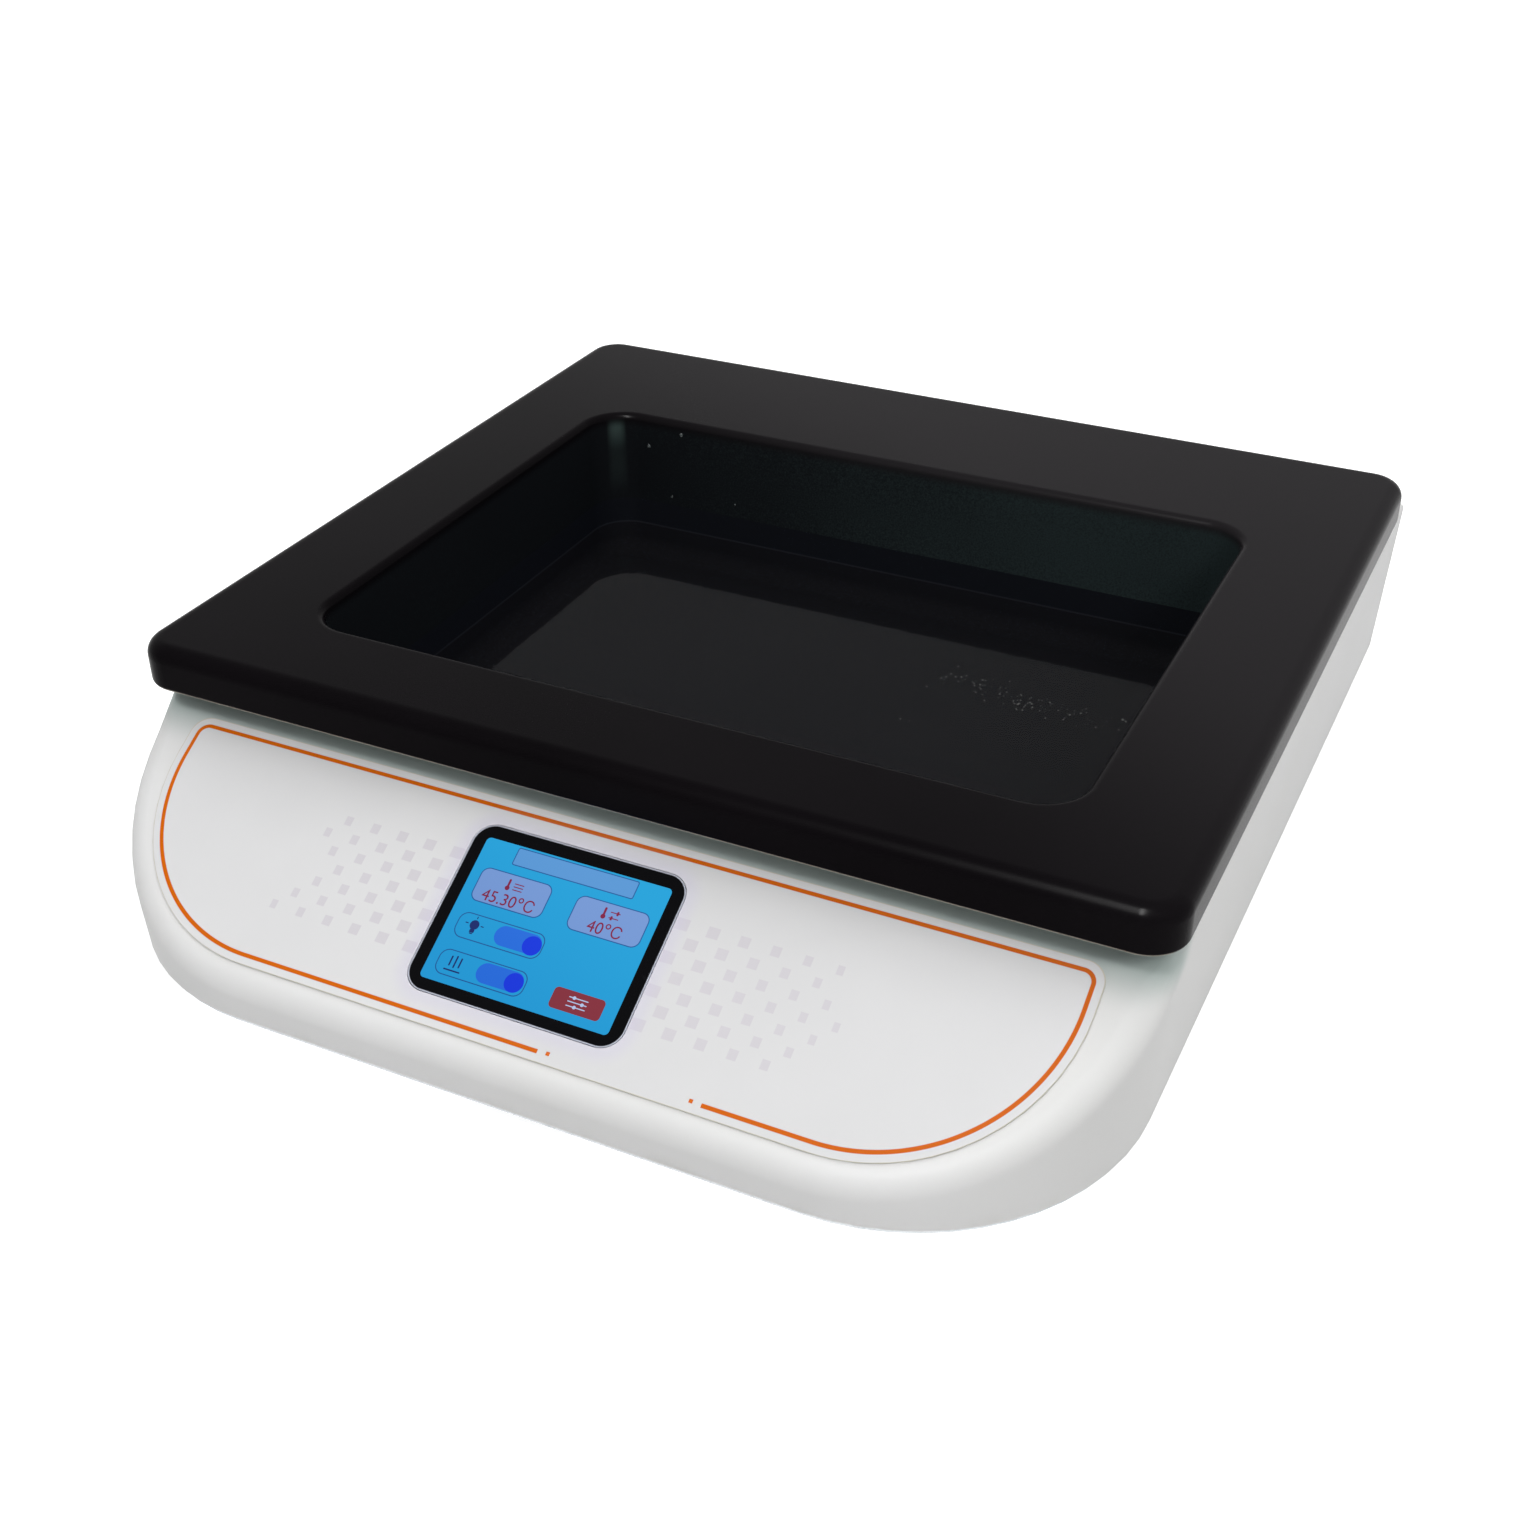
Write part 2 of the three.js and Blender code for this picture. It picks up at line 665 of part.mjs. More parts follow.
// The shell's outer or inner form: leaning walls, a sloped console and a level deck, edges rounded
function shellForm(wall, bottomZ) {
  const consoleFall = wall / Math.cos(consoleTilt);
  const creaseY = deckFrontY + (consoleFall - wall) / tiltSlope;
  const outline = housingOutline(wall, creaseY);
  const topAt = (y) => Math.min(consoleTopZ - consoleFall + (y - rimFrontY) * tiltSlope, deckZ - wall);
  const leanAt = (p, z) => leanSlope * (1 - Math.max(0, p.normalY)) * (z - shellBottomZ);
  const pointOf = (p, shift, z) => new THREE.Vector3(p.x + p.normalX * shift, p.y + p.normalY * shift, z);
  const rings = [outline.map((p) => pointOf(p, leanAt(p, bottomZ), bottomZ))];
  for (let step = 0; step <= edgeSteps; step += 1) {
    const turn = (Math.PI / 2) * (step / edgeSteps);
    rings.push(outline.map((p) => {
      const share = THREE.MathUtils.clamp((creaseY - p.y) / edgeBlend, 0, 1);
      const radius = Math.max(innerEdge, deckEdge + (consoleEdge - deckEdge) * share - wall);
      const fall = Math.atan(tiltSlope * Math.max(0, -p.normalY));
      const tangent = radius * Math.tan((Math.PI / 2 - fall) / 2);
      const drawIn = tangent * Math.cos(fall) * (1 - Math.cos(turn));
      const drop = tangent * (1 - Math.sin(turn));
      const shift = leanAt(p, topAt(p.y - p.normalY * drawIn) - drop) - drawIn;
      return pointOf(p, shift, topAt(p.y + p.normalY * shift) - drop);
    }));
  }
  const all = [...outline.keys()];
  const rightStop = bigCornerSteps + 1;
  const leftStop = outline.length - rightStop - 1;
  const consolePart = [...all.slice(0, rightStop + 1), ...all.slice(leftStop)];
  return solidOf(ringLoft(rings, [consolePart, all.slice(rightStop, leftStop + 1)]));
}

const sideBossX = housingWidth / 2 - shellWall - shellBossRadius + shellBossLap;
const shellBossPlaces = [-1, 1].flatMap((side) => [
  [side * sideBossX, housingFrontY + shellBossFront],
  [side * sideBossX, housingBackY - shellBossBack],
]);
const baseScrewSeatZ = footHeight - seatGap;
const standoffPlaces = [-1, 1].flatMap((side) => [
  [side * standoffReach - glassOffset, -glassSetBack - standoffRise],
  [side * standoffReach - glassOffset, standoffRise - glassSetBack],
]);
const glassTopN = seatGap + filmThickness;
const glassUnderN = glassTopN - glassThickness;
const glassSeatN = glassUnderN - seatGap;
const displayBodyN = -shellWall - seatGap;
const displayBoardN = displayBodyN - displayDepth;
const displayUnderN = displayBoardN - displayBoardThickness;
const bracketTopN = displayUnderN - seatGap;
const bracketUnderN = bracketTopN - bracketThickness;
const displayScrewSeatN = bracketUnderN - seatGap;

// Housing: one moulding with its bosses, the display window and the cut-outs in the back wall
function buildHousing() {
  const shell = shellForm(0, shellBottomZ).subtract(shellForm(shellWall, shellBottomZ - overrun));
  const bosses = shellBossPlaces.map(([x, y]) => (
    solidOf(bar(shellBossRadius, shellBossHeight, x, y, shellBottomZ))
  ));
  const standoffs = standoffPlaces.map(([x, y]) => (
    solidOf(bar(standoffRadius, -shellWall / 2 - displayUnderN, x, y, displayUnderN), consoleMatrix)
  ));
  const deckOpening = prism(bowlOutline, -(bowlWall + bowlClearance), deckZ - overrun, deckZ + overrun);
  const pocket = solidOf(
    windowPrism(
      glassWidth + 2 * seatGap, glassHeight + 2 * seatGap, glassCorner + seatGap, glassSeatN, overrun,
    ),
    consoleMatrix,
  );
  const through = solidOf(windowPrism(
    glassWidth - 2 * windowLedge,
    glassHeight - 2 * windowLedge,
    glassCorner - windowLedge,
    -overrun,
    overrun,
  ), consoleMatrix);
  const boreRadius = screwRadius + screwClearance;
  const smallBoreRadius = smallScrewRadius + screwClearance;
  const rimBores = basinBossPlaces.map(([x, y]) => (
    solidOf(bar(boreRadius, 2 * overrun, x, y, deckZ - overrun))
  ));
  const bossBores = shellBossPlaces.map(([x, y]) => (
    solidOf(bar(boreRadius, baseScrewLength + seatGap, x, y, baseScrewSeatZ))
  ));
  const standoffBores = standoffPlaces.map(([x, y]) => solidOf(
    bar(smallBoreRadius, smallScrewLength + seatGap, x, y, displayScrewSeatN), consoleMatrix,
  ));
  const inletHole = box(
    inletBodyWidth + 2 * seatGap, 2 * overrun, inletBodyHeight + 2 * seatGap,
    inletOffset, housingBackY, inletHeight,
  );
  const switchHole = box(
    switchBodyWidth + 2 * seatGap, 2 * overrun, switchBodyHeight + 2 * seatGap,
    switchOffset, housingBackY, inletHeight,
  );
  const inletBores = [-1, 1].map((side) => solidOf(barAlongY(
    smallBoreRadius, 2 * overrun, inletOffset + side * inletScrewSpread, housingBackY - overrun, inletHeight,
  )));
  const body = joined([shell, ...bosses, ...standoffs]);
  return geometryOf(cutAway(body, [
    deckOpening, pocket, through, ...rimBores, ...bossBores, ...standoffBores,
    solidOf(inletHole), solidOf(switchHole), ...inletBores,
  ]));
}

// A rounded plate or opening at the display's place, between two depths of the console
function windowPrism(width, height, corner, bottom, top) {
  return plateOf(roundedShape(width, height, corner), top - bottom)
    .translate(-glassOffset, -glassSetBack, bottom);
}

// Base plate with press nuts, vent slots, board pins and tabs that hold the supply
const footPlaces = [-1, 1].flatMap((side) => [
  [side * footX, housingFrontY + footFrontInset],
  [side * footX, housingBackY - footInset],
]);
const boardCentreY = rimFrontY - boardAheadOfRim + boardDepth / 2;
const boardPlaces = [-1, 1].flatMap((side) => [
  [side * (boardWidth / 2 - boardHoleInset), boardCentreY - boardDepth / 2 + boardHoleInset],
  [side * (boardWidth / 2 - boardHoleInset), boardCentreY + boardDepth / 2 - boardHoleInset],
]);
const boardUnderZ = baseTopZ + boardStandoff + seatGap;
const boardTopZ = boardUnderZ + boardThickness;
const boardPinTop = boardTopZ + boardPinProud;
const deviceBackY = innerBackY - partBackMargin;
const deviceUnderZ = baseTopZ + seatGap;
const supplyCentreY = deviceBackY - supplyDepth / 2;
const relayCentreY = deviceBackY - relayDepth / 2;
const relayTerminalZ = deviceUnderZ + relayHeight / 2;
const relayScrewTipZ = deviceUnderZ + relayFlange + seatGap - smallScrewLength;
const relayScrewPlaces = [-1, 1].map((side) => [relayOffset + side * relayScrewSpread, relayCentreY]);

function buildBasePlate() {
  const plate = prism(housingOutline(baseInset, deckFrontY), 0, footHeight, baseTopZ);
  const collars = footPlaces.map(([x, y]) => (
    solidOf(bar(collarRadius, collarHeight + baseThickness, x, y, footHeight))
  ));
  const pillars = boardPlaces.flatMap(([x, y]) => [
    solidOf(bar(boardStandoffRadius, boardStandoff + baseThickness, x, y, footHeight)),
    solidOf(bar(boardPinRadius, boardPinTop - footHeight, x, y, footHeight, smallSides)),
  ]);
  const tabHeight = supplyTabHeight + baseThickness;
  const tabZ = footHeight + tabHeight / 2;
  const tabReachX = supplyWidth / 2 + seatGap + supplyTabWall / 2;
  const tabReachY = supplyDepth / 2 + seatGap + supplyTabWall / 2;
  const tabs = [-1, 1].flatMap((side) => [
    box(supplyTabWall, supplyTabLength, tabHeight, side * tabReachX - supplyOffset, supplyCentreY, tabZ),
    box(supplyTabLength, supplyTabWall, tabHeight, -supplyOffset, supplyCentreY + side * tabReachY, tabZ),
  ]).map((tab) => solidOf(tab));
  const through = 2 * overrun + collarHeight;
  const bores = [...footPlaces, ...shellBossPlaces].map(([x, y]) => (
    solidOf(bar(screwRadius + screwClearance, through, x, y, footHeight - overrun))
  ));
  const relayBores = relayScrewPlaces.map(([x, y]) => (
    solidOf(bar(smallScrewRadius + screwClearance, through, x, y, footHeight - overrun, smallSides))
  ));
  const slot = roundedShape(ventLength, ventWidth, ventWidth / 2);
  const ventPlaces = [
    [0, housingFrontY + ventFrontReach / 2],
    [footX - ventFootMargin, housingBackY - ventBackReach],
  ];
  const slots = [];
  for (let row = 0; row < ventCount; row += 1) {
    const shift = (row - (ventCount - 1) / 2) * ventPitch;
    for (const [x, y] of ventPlaces) {
      const cutter = plateOf(slot, 2 * overrun, plainSteps).translate(x, y + shift, footHeight - overrun);
      slots.push(solidOf(cutter));
    }
  }
  const body = joined([plate, ...collars, ...pillars, ...tabs]);
  return geometryOf(cutAway(body, [...bores, ...relayBores, ...slots]));
}

// Foot with a counterbore from below
function buildFoot() {
  const top = footHeight - seatGap;
  const bore = screwRadius + screwClearance;
  const profile = [
    [footBore, 0], [footRadius - footTaper, 0], [footRadius, top],
    [bore, top], [bore, footBoreDepth], [footBore, footBoreDepth], [footBore, 0],
  ].map(([radius, height]) => new THREE.Vector2(radius, height));
  return new THREE.LatheGeometry(profile, footSides).rotateX(Math.PI / 2);
}

// A screw standing head down, its tip up
function screwUp(length) {
  return screwGeometry(screwRadius, length, screwHeadRadius, screwHeadHeight)
    .rotateX(Math.PI)
    .translate(0, 0, length);
}

function smallScrew() {
  return screwGeometry(smallScrewRadius, smallScrewLength, smallHeadRadius, smallHeadHeight);
}

function addScrews(prefix, names, places, geometry, z, parent = group) {
  places.forEach(([x, y], index) => {
    addPiece(`${prefix}_${names[index]}`, geometry.clone().translate(x, y, z), 'steel', parent);
  });
}

// Console film with the glass window cut out
function buildFilm() {
  const outline = roundedOutline({
    minX: -filmHalfWidth, maxX: filmHalfWidth, minY: -filmBottom, maxY: filmTop,
    front: filmBigCorner, back: filmSmallCorner, frontSteps: bigCornerSteps, backSteps: cornerSteps,
  });
  const sheet = prism(outline, 0, seatGap, glassTopN);
  const opening = windowPrism(
    glassWidth + 2 * seatGap, glassHeight + 2 * seatGap, glassCorner + seatGap, -overrun, overrun,
  );
  return geometryOf(sheet.subtract(solidOf(opening)));
}

// Display: the panel stands up into the window, the frame and board behind the console wall
function buildDisplay() {
  const panelWidth = glassWidth - 2 * (windowLedge + seatGap);
  const panelHeight = glassHeight - 2 * (windowLedge + seatGap);
  const panelCorner = glassCorner - windowLedge - seatGap;
  const panelUnderN = displayBodyN - displayDepth / 2;
  const panel = windowPrism(panelWidth, panelHeight, panelCorner, panelUnderN, glassSeatN);
  const frameDepth = displayDepth + displayBoardThickness / 2;
  const frame = box(
    displayWidth, displayHeight, frameDepth, -glassOffset, -glassSetBack, displayBodyN - frameDepth / 2,
  );
  const board = box(
    displayBoardWidth, displayBoardHeight, displayBoardThickness,
    -glassOffset, -glassSetBack, displayBoardN - displayBoardThickness / 2,
  );
  return geometryOf(joined([solidOf(panel), solidOf(frame), solidOf(board)]));
}

function buildBracket() {
  const width = 2 * (standoffReach + bracketMargin);
  const height = 2 * (standoffRise + bracketMargin);
  const plate = solidOf(windowPrism(width, height, bracketCorner, bracketUnderN, bracketTopN));
  const opening = solidOf(windowPrism(
    bracketOpeningWidth, bracketOpeningHeight, bracketCorner, bracketUnderN - overrun, 0,
  ));
  const bores = standoffPlaces.map(([x, y]) => (
    solidOf(bar(smallScrewRadius + screwClearance, 2 * overrun, x, y, bracketTopN - overrun, smallSides))
  ));
  return geometryOf(cutAway(plate, [opening, ...bores]));
}

// Heating under the bowl
const matWidth = bowlWidth - 2 * matSideMargin;
const matLength = bowlLength - 2 * matEndMargin;
const padWidth = bowlWidth - 2 * padSideMargin;
const padLength = bowlLength - 2 * padEndMargin;

function flatPlate(width, length, corner, thickness, bottom) {
  const plate = plateOf(roundedShape(width, length, corner), thickness, plainSteps);
  return plate.translate(0, bowlCentreY, bottom);
}

function buildClampPlate() {
  const plate = solidOf(flatPlate(clampWidth, clampLength, clampCorner, clampThickness, clampUnderZ));
  const bores = clampPlaces.map(([x, y]) => (
    solidOf(bar(screwRadius + screwClearance, 2 * overrun, x, y, clampUnderZ - overrun))
  ));
  return geometryOf(cutAway(plate, bores));
}

function buildProbe() {
  const profile = [new THREE.Vector2(0, 0)];
  for (let step = 0; step <= edgeSteps; step += 1) {
    const turn = (Math.PI / 2) * (step / edgeSteps);
    if (step > 0) {
      profile.push(new THREE.Vector2(probeRadius * Math.sin(turn), probeRadius * (1 - Math.cos(turn))));
    }
  }
  profile.push(new THREE.Vector2(probeRadius, probeLength), new THREE.Vector2(0, probeLength));
  return new THREE.LatheGeometry(profile, boreSides)
    .rotateZ(-Math.PI / 2)
    .translate(-probeLength / 2, probeY, probeZ);
}

// Thermal cut-out: can against the bowl, ears on two bosses, two tabs behind
function buildCutout() {
  const canStart = bowlBackFaceY + seatGap;
  const canEnd = canStart + cutoutHeight;
  const flangeStart = bowlBackFaceY + cutoutBossLength + seatGap;
  const can = solidOf(barAlongY(cutoutRadius, cutoutHeight, cutoutOffset, canStart, cutoutZ));
  const flange = solidOf(wallPlate(
    roundedShape(cutoutFlangeWidth, cutoutFlangeHeight, cutoutFlangeCorner),
    cutoutFlangeThickness, cutoutOffset, flangeStart, cutoutZ,
  ));
  const bores = [-1, 1].map((side) => solidOf(barAlongY(
    smallScrewRadius + screwClearance, 2 * overrun,
    cutoutOffset + side * cutoutScrewSpread, flangeStart - overrun, cutoutZ, smallSides,
  )));
  const tabs = [-1, 1].map((side) => solidOf(box(
    tabWidth, tabLength + pinRoot, tabThickness,
    cutoutOffset, canEnd + (tabLength - pinRoot) / 2, cutoutZ + side * cutoutTabSpread,
  )));
  return geometryOf(joined([cutAway(flange, bores), can, ...tabs]));
}

// Electronics
function buildControlBoard() {
  const boardMidZ = boardUnderZ + boardThickness / 2;
  const plate = solidOf(box(boardWidth, boardDepth, boardThickness, 0, boardCentreY, boardMidZ));
  const bores = boardPlaces.map(([x, y]) => (
    solidOf(bar(boardPinRadius + screwClearance, 2 * overrun, x, y, boardUnderZ - overrun, smallSides))
  ));
  const parts = boardParts.map(([x, y, width, depth, height]) => {
    const reach = boardTopZ + height - boardMidZ;
    return solidOf(box(width, depth, reach, x, boardCentreY + y, boardMidZ + reach / 2));
  });
  const posts = boardPosts.map(([x, y, radius, height]) => (
    solidOf(bar(radius, boardTopZ + height - boardMidZ, x, boardCentreY + y, boardMidZ))
  ));
  return geometryOf(joined([cutAway(plate, bores), ...parts, ...posts]));
}

function buildSupply() {
  const bodyWidth = supplyWidth - terminalDepth;
  const body = box(
    bodyWidth, supplyDepth, supplyHeight, supplyEndX - terminalDepth - bodyWidth / 2, supplyCentreY,
    deviceUnderZ + supplyHeight / 2,
  );
  const shelfWidth = terminalDepth + overrun;
  const shelf = box(
    shelfWidth, supplyDepth, terminalHeight, supplyEndX - shelfWidth / 2, supplyCentreY,
    deviceUnderZ + terminalHeight / 2,
  );
  return geometryOf(joined([solidOf(body), solidOf(shelf)]));
}

function buildRelay() {
  const flange = solidOf(box(
    relayWidth, relayDepth, relayFlange, relayOffset, relayCentreY, deviceUnderZ + relayFlange / 2,
  ));
  const body = solidOf(box(
    relayBodyWidth, relayDepth, relayHeight, relayOffset, relayCentreY, deviceUnderZ + relayHeight / 2,
  ));
  const bores = relayScrewPlaces.map(([x, y]) => (
    solidOf(bar(smallScrewRadius + screwClearance, 2 * overrun, x, y, deviceUnderZ - overrun, smallSides))
  ));
  return geometryOf(cutAway(flange, bores).add(body));
}

// Mains inlet: flange, body with the socket and its pins, drawer bay, tabs behind
const wallFaceY = housingBackY + seatGap;
const inletFaceY = wallFaceY + inletFlangeThickness;
const inletRearY = housingBackY - inletBodyDepth;
const socketZ = inletHeight + socketRise;
const drawerZ = inletHeight - drawerDrop;
const inletPinPlaces = [[-1, -1], [0, 1], [1, -1]].map(([side, up]) => [
  inletOffset + side * pinSpread, socketZ + (up * pinRise) / 2,
]);

function buildInlet() {
  const flange = solidOf(wallPlate(
    roundedShape(inletFlangeWidth, inletFlangeHeight, inletCorner),
    inletFlangeThickness, inletOffset, wallFaceY, inletHeight,
  ));
  const bodyDepth = inletFaceY - inletRearY;
  const body = solidOf(box(
    inletBodyWidth, bodyDepth, inletBodyHeight, inletOffset, inletFaceY - bodyDepth / 2, inletHeight,
  ));
  const socketShape = new THREE.Shape();
  const halfWidth = socketWidth / 2;
  const halfHeight = socketHeight / 2;
  socketShape.moveTo(-halfWidth, halfHeight);
  socketShape.lineTo(-halfWidth, socketChamfer - halfHeight);
  socketShape.lineTo(socketChamfer - halfWidth, -halfHeight);
  socketShape.lineTo(halfWidth - socketChamfer, -halfHeight);
  socketShape.lineTo(halfWidth, socketChamfer - halfHeight);
  socketShape.lineTo(halfWidth, halfHeight);
  const socket = solidOf(wallPlate(
    socketShape, socketDepth + overrun, inletOffset, inletFaceY - socketDepth, socketZ,
  ));
  const bay = solidOf(box(
    drawerWidth + 2 * seatGap, 2 * (drawerDepth + seatGap), drawerHeight + 2 * seatGap,
    inletOffset, inletFaceY, drawerZ,
  ));
  const pinReach = pinLength + pinRoot;
  const pinStartY = inletFaceY - socketDepth - pinRoot;
  const pins = inletPinPlaces.map(([x, z]) => (
    solidOf(box(pinThin, pinReach, pinWide, x, pinStartY + pinReach / 2, z))
  ));
  const tabReach = tabLength + pinRoot;
  const tabs = inletPinPlaces.map(([x, z]) => solidOf(box(
    tabThickness, tabReach, tabWidth, x, inletRearY + pinRoot - tabReach / 2, z,
  )));
  const bores = [-1, 1].map((side) => solidOf(barAlongY(
    smallScrewRadius + screwClearance, 2 * overrun,
    inletOffset + side * inletScrewSpread, housingBackY - overrun, inletHeight, smallSides,
  )));
  return geometryOf(joined([cutAway(flange.add(body), [socket, bay, ...bores]), ...pins, ...tabs]));
}

// Fuse drawer and the fuse across it
const fuseZ = drawerZ - drawerHeight / 2 + drawerWall + seatGap + fuseRadius + fuseCapStep;
const fuseY = inletFaceY - drawerFace - drawerFuseReach;

function buildDrawer() {
  const body = solidOf(box(
    drawerWidth, drawerDepth, drawerHeight, inletOffset, inletFaceY - drawerDepth / 2, drawerZ,
  ));
  const trough = solidOf(box(
    fuseLength + 2 * seatGap, 2 * (fuseRadius + fuseCapStep + seatGap), drawerHeight,
    inletOffset, fuseY, drawerZ + drawerWall,
  ));
  const pull = solidOf(box(
    drawerPullWidth, drawerPull + drawerFace, drawerPullHeight,
    inletOffset, inletFaceY + (drawerPull - drawerFace) / 2, drawerZ - (drawerHeight - drawerPullHeight) / 2,
  ));
  return geometryOf(body.subtract(trough).add(pull));
}

function buildFuse() {
  const capRadius = fuseRadius + fuseCapStep;
  const profile = [
    [0, 0], [capRadius, 0], [capRadius, fuseCap], [fuseRadius, fuseCap],
    [fuseRadius, fuseLength - fuseCap], [capRadius, fuseLength - fuseCap],
    [capRadius, fuseLength], [0, fuseLength],
  ].map(([radius, along]) => new THREE.Vector2(radius, along));
  return new THREE.LatheGeometry(profile, boreSides)
    .rotateZ(-Math.PI / 2)
    .translate(inletOffset - fuseLength / 2, fuseY, fuseZ);
}

// Power switch: flanged frame with a well, the rocker on two pins
const switchFaceY = wallFaceY + switchFlangeThickness;
const rockerPivotY = switchFaceY - rockerPivotDepth;

function buildSwitchFrame() {
  const flange = solidOf(wallPlate(
    roundedShape(switchFlangeWidth, switchFlangeHeight, switchCorner),
    switchFlangeThickness, switchOffset, wallFaceY, inletHeight,
  ));
  const rearY = housingBackY - switchBodyDepth;
  const bodyDepth = switchFaceY - rearY;
  const body = solidOf(box(
    switchBodyWidth, bodyDepth, switchBodyHeight, switchOffset, switchFaceY - bodyDepth / 2, inletHeight,
  ));
  const wellDepth = bodyDepth - switchWall;
  const well = solidOf(box(
    switchBodyWidth - 2 * switchWall, 2 * wellDepth, switchBodyHeight - 2 * switchWall,
    switchOffset, switchFaceY, inletHeight,
  ));
  const pinBore = solidOf(barAlongX(
    rockerPinRadius + rockerPinClearance, rockerWidth + 2 * (rockerPinLength + seatGap),
    switchOffset, rockerPivotY, inletHeight,
  ));
  const tabs = [-1, 1].map((side) => solidOf(box(
    tabWidth, tabLength + pinRoot, tabThickness,
    switchOffset, rearY + pinRoot - (tabLength + pinRoot) / 2, inletHeight + side * switchTabSpread,
  )));
  return geometryOf(joined([cutAway(flange.add(body), [well, pinBore]), ...tabs]));
}

function buildRocker() {
  const valleyControl = 2 * (rockerPivotDepth + rockerValley) - rockerTip;
  const section = new THREE.Shape();
  section.moveTo(-rockerHalfHeight, rockerTip - rockerSkirt);
  section.lineTo(rockerHalfHeight, rockerTip - rockerSkirt);
  section.lineTo(rockerHalfHeight, rockerTip);
  section.quadraticCurveTo(0, valleyControl, -rockerHalfHeight, rockerTip);
  const turned = new THREE.Matrix4().makeBasis(
    new THREE.Vector3(0, 0, 1), new THREE.Vector3(0, 1, 0), new THREE.Vector3(-1, 0, 0),
  );
  const cap = plateOf(section, rockerWidth).translate(0, 0, -rockerWidth / 2);
  const pin = barAlongX(rockerPinRadius, rockerWidth + 2 * rockerPinLength, 0, 0, 0);
  return geometryOf(solidOf(cap, turned).add(solidOf(pin)))
    .rotateX(rockerThrow)
    .translate(switchOffset, rockerPivotY, inletHeight);
}

// Leads, each from a terminal to the next along the base plate or the back of the bowl
const inletTabY = inletRearY - tabLength - seatGap;
const switchTabY = housingBackY - switchBodyDepth - tabLength - seatGap;
const cutoutTabY = bowlBackFaceY + seatGap + cutoutHeight + tabLength + seatGap;
const floorRunZ = deviceUnderZ + 2 * thickLead;
const supplyTopZ = deviceUnderZ + terminalHeight + seatGap;
const supplyTerminalX = supplyEndX - terminalDepth / 2;
const relayFrontY = relayCentreY - relayDepth / 2 - seatGap;
const relayTopRunZ = deviceUnderZ + relayHeight + leadClearance;
const behindBowlY = bowlBackFaceY + leadClearance;
const boardEndX = boardConnectorReach + seatGap;
const boardLeadZ = boardTopZ + boardConnectorHeight / 2;
const probeConnectorY = boardCentreY + boardParts[2][1] + boardParts[2][3] / 2 + seatGap;

const sideRunX = housingWidth / 2 - sideRunMargin;

// The run along one side of the pad, from behind the bowl to the control board
function sideRun(side) {
  return [
    [side * (sideRunX - leadBend), behindBowlY - leadBend / 2, floorRunZ],
    [side * sideRunX, behindBowlY - 2 * leadBend, floorRunZ],
    [side * sideRunX, boardCentreY + 5 * leadBend, floorRunZ],
    [side * (sideRunX - leadBend), boardCentreY + 2 * leadBend, floorRunZ],
    [side * (boardEndX + 2 * leadBend), boardCentreY + leadBend / 2, floorRunZ + leadBend / 4],
    [side * (boardEndX + leadBend), boardCentreY, boardLeadZ],
    [side * boardEndX, boardCentreY, boardLeadZ],
  ];
}

function addLead(name, points, radius, finish) {
  const steps = leadStepsPerPoint * points.length;
  addPiece(name, leadGeometry(points, roundSection(radius), steps), finish);
}

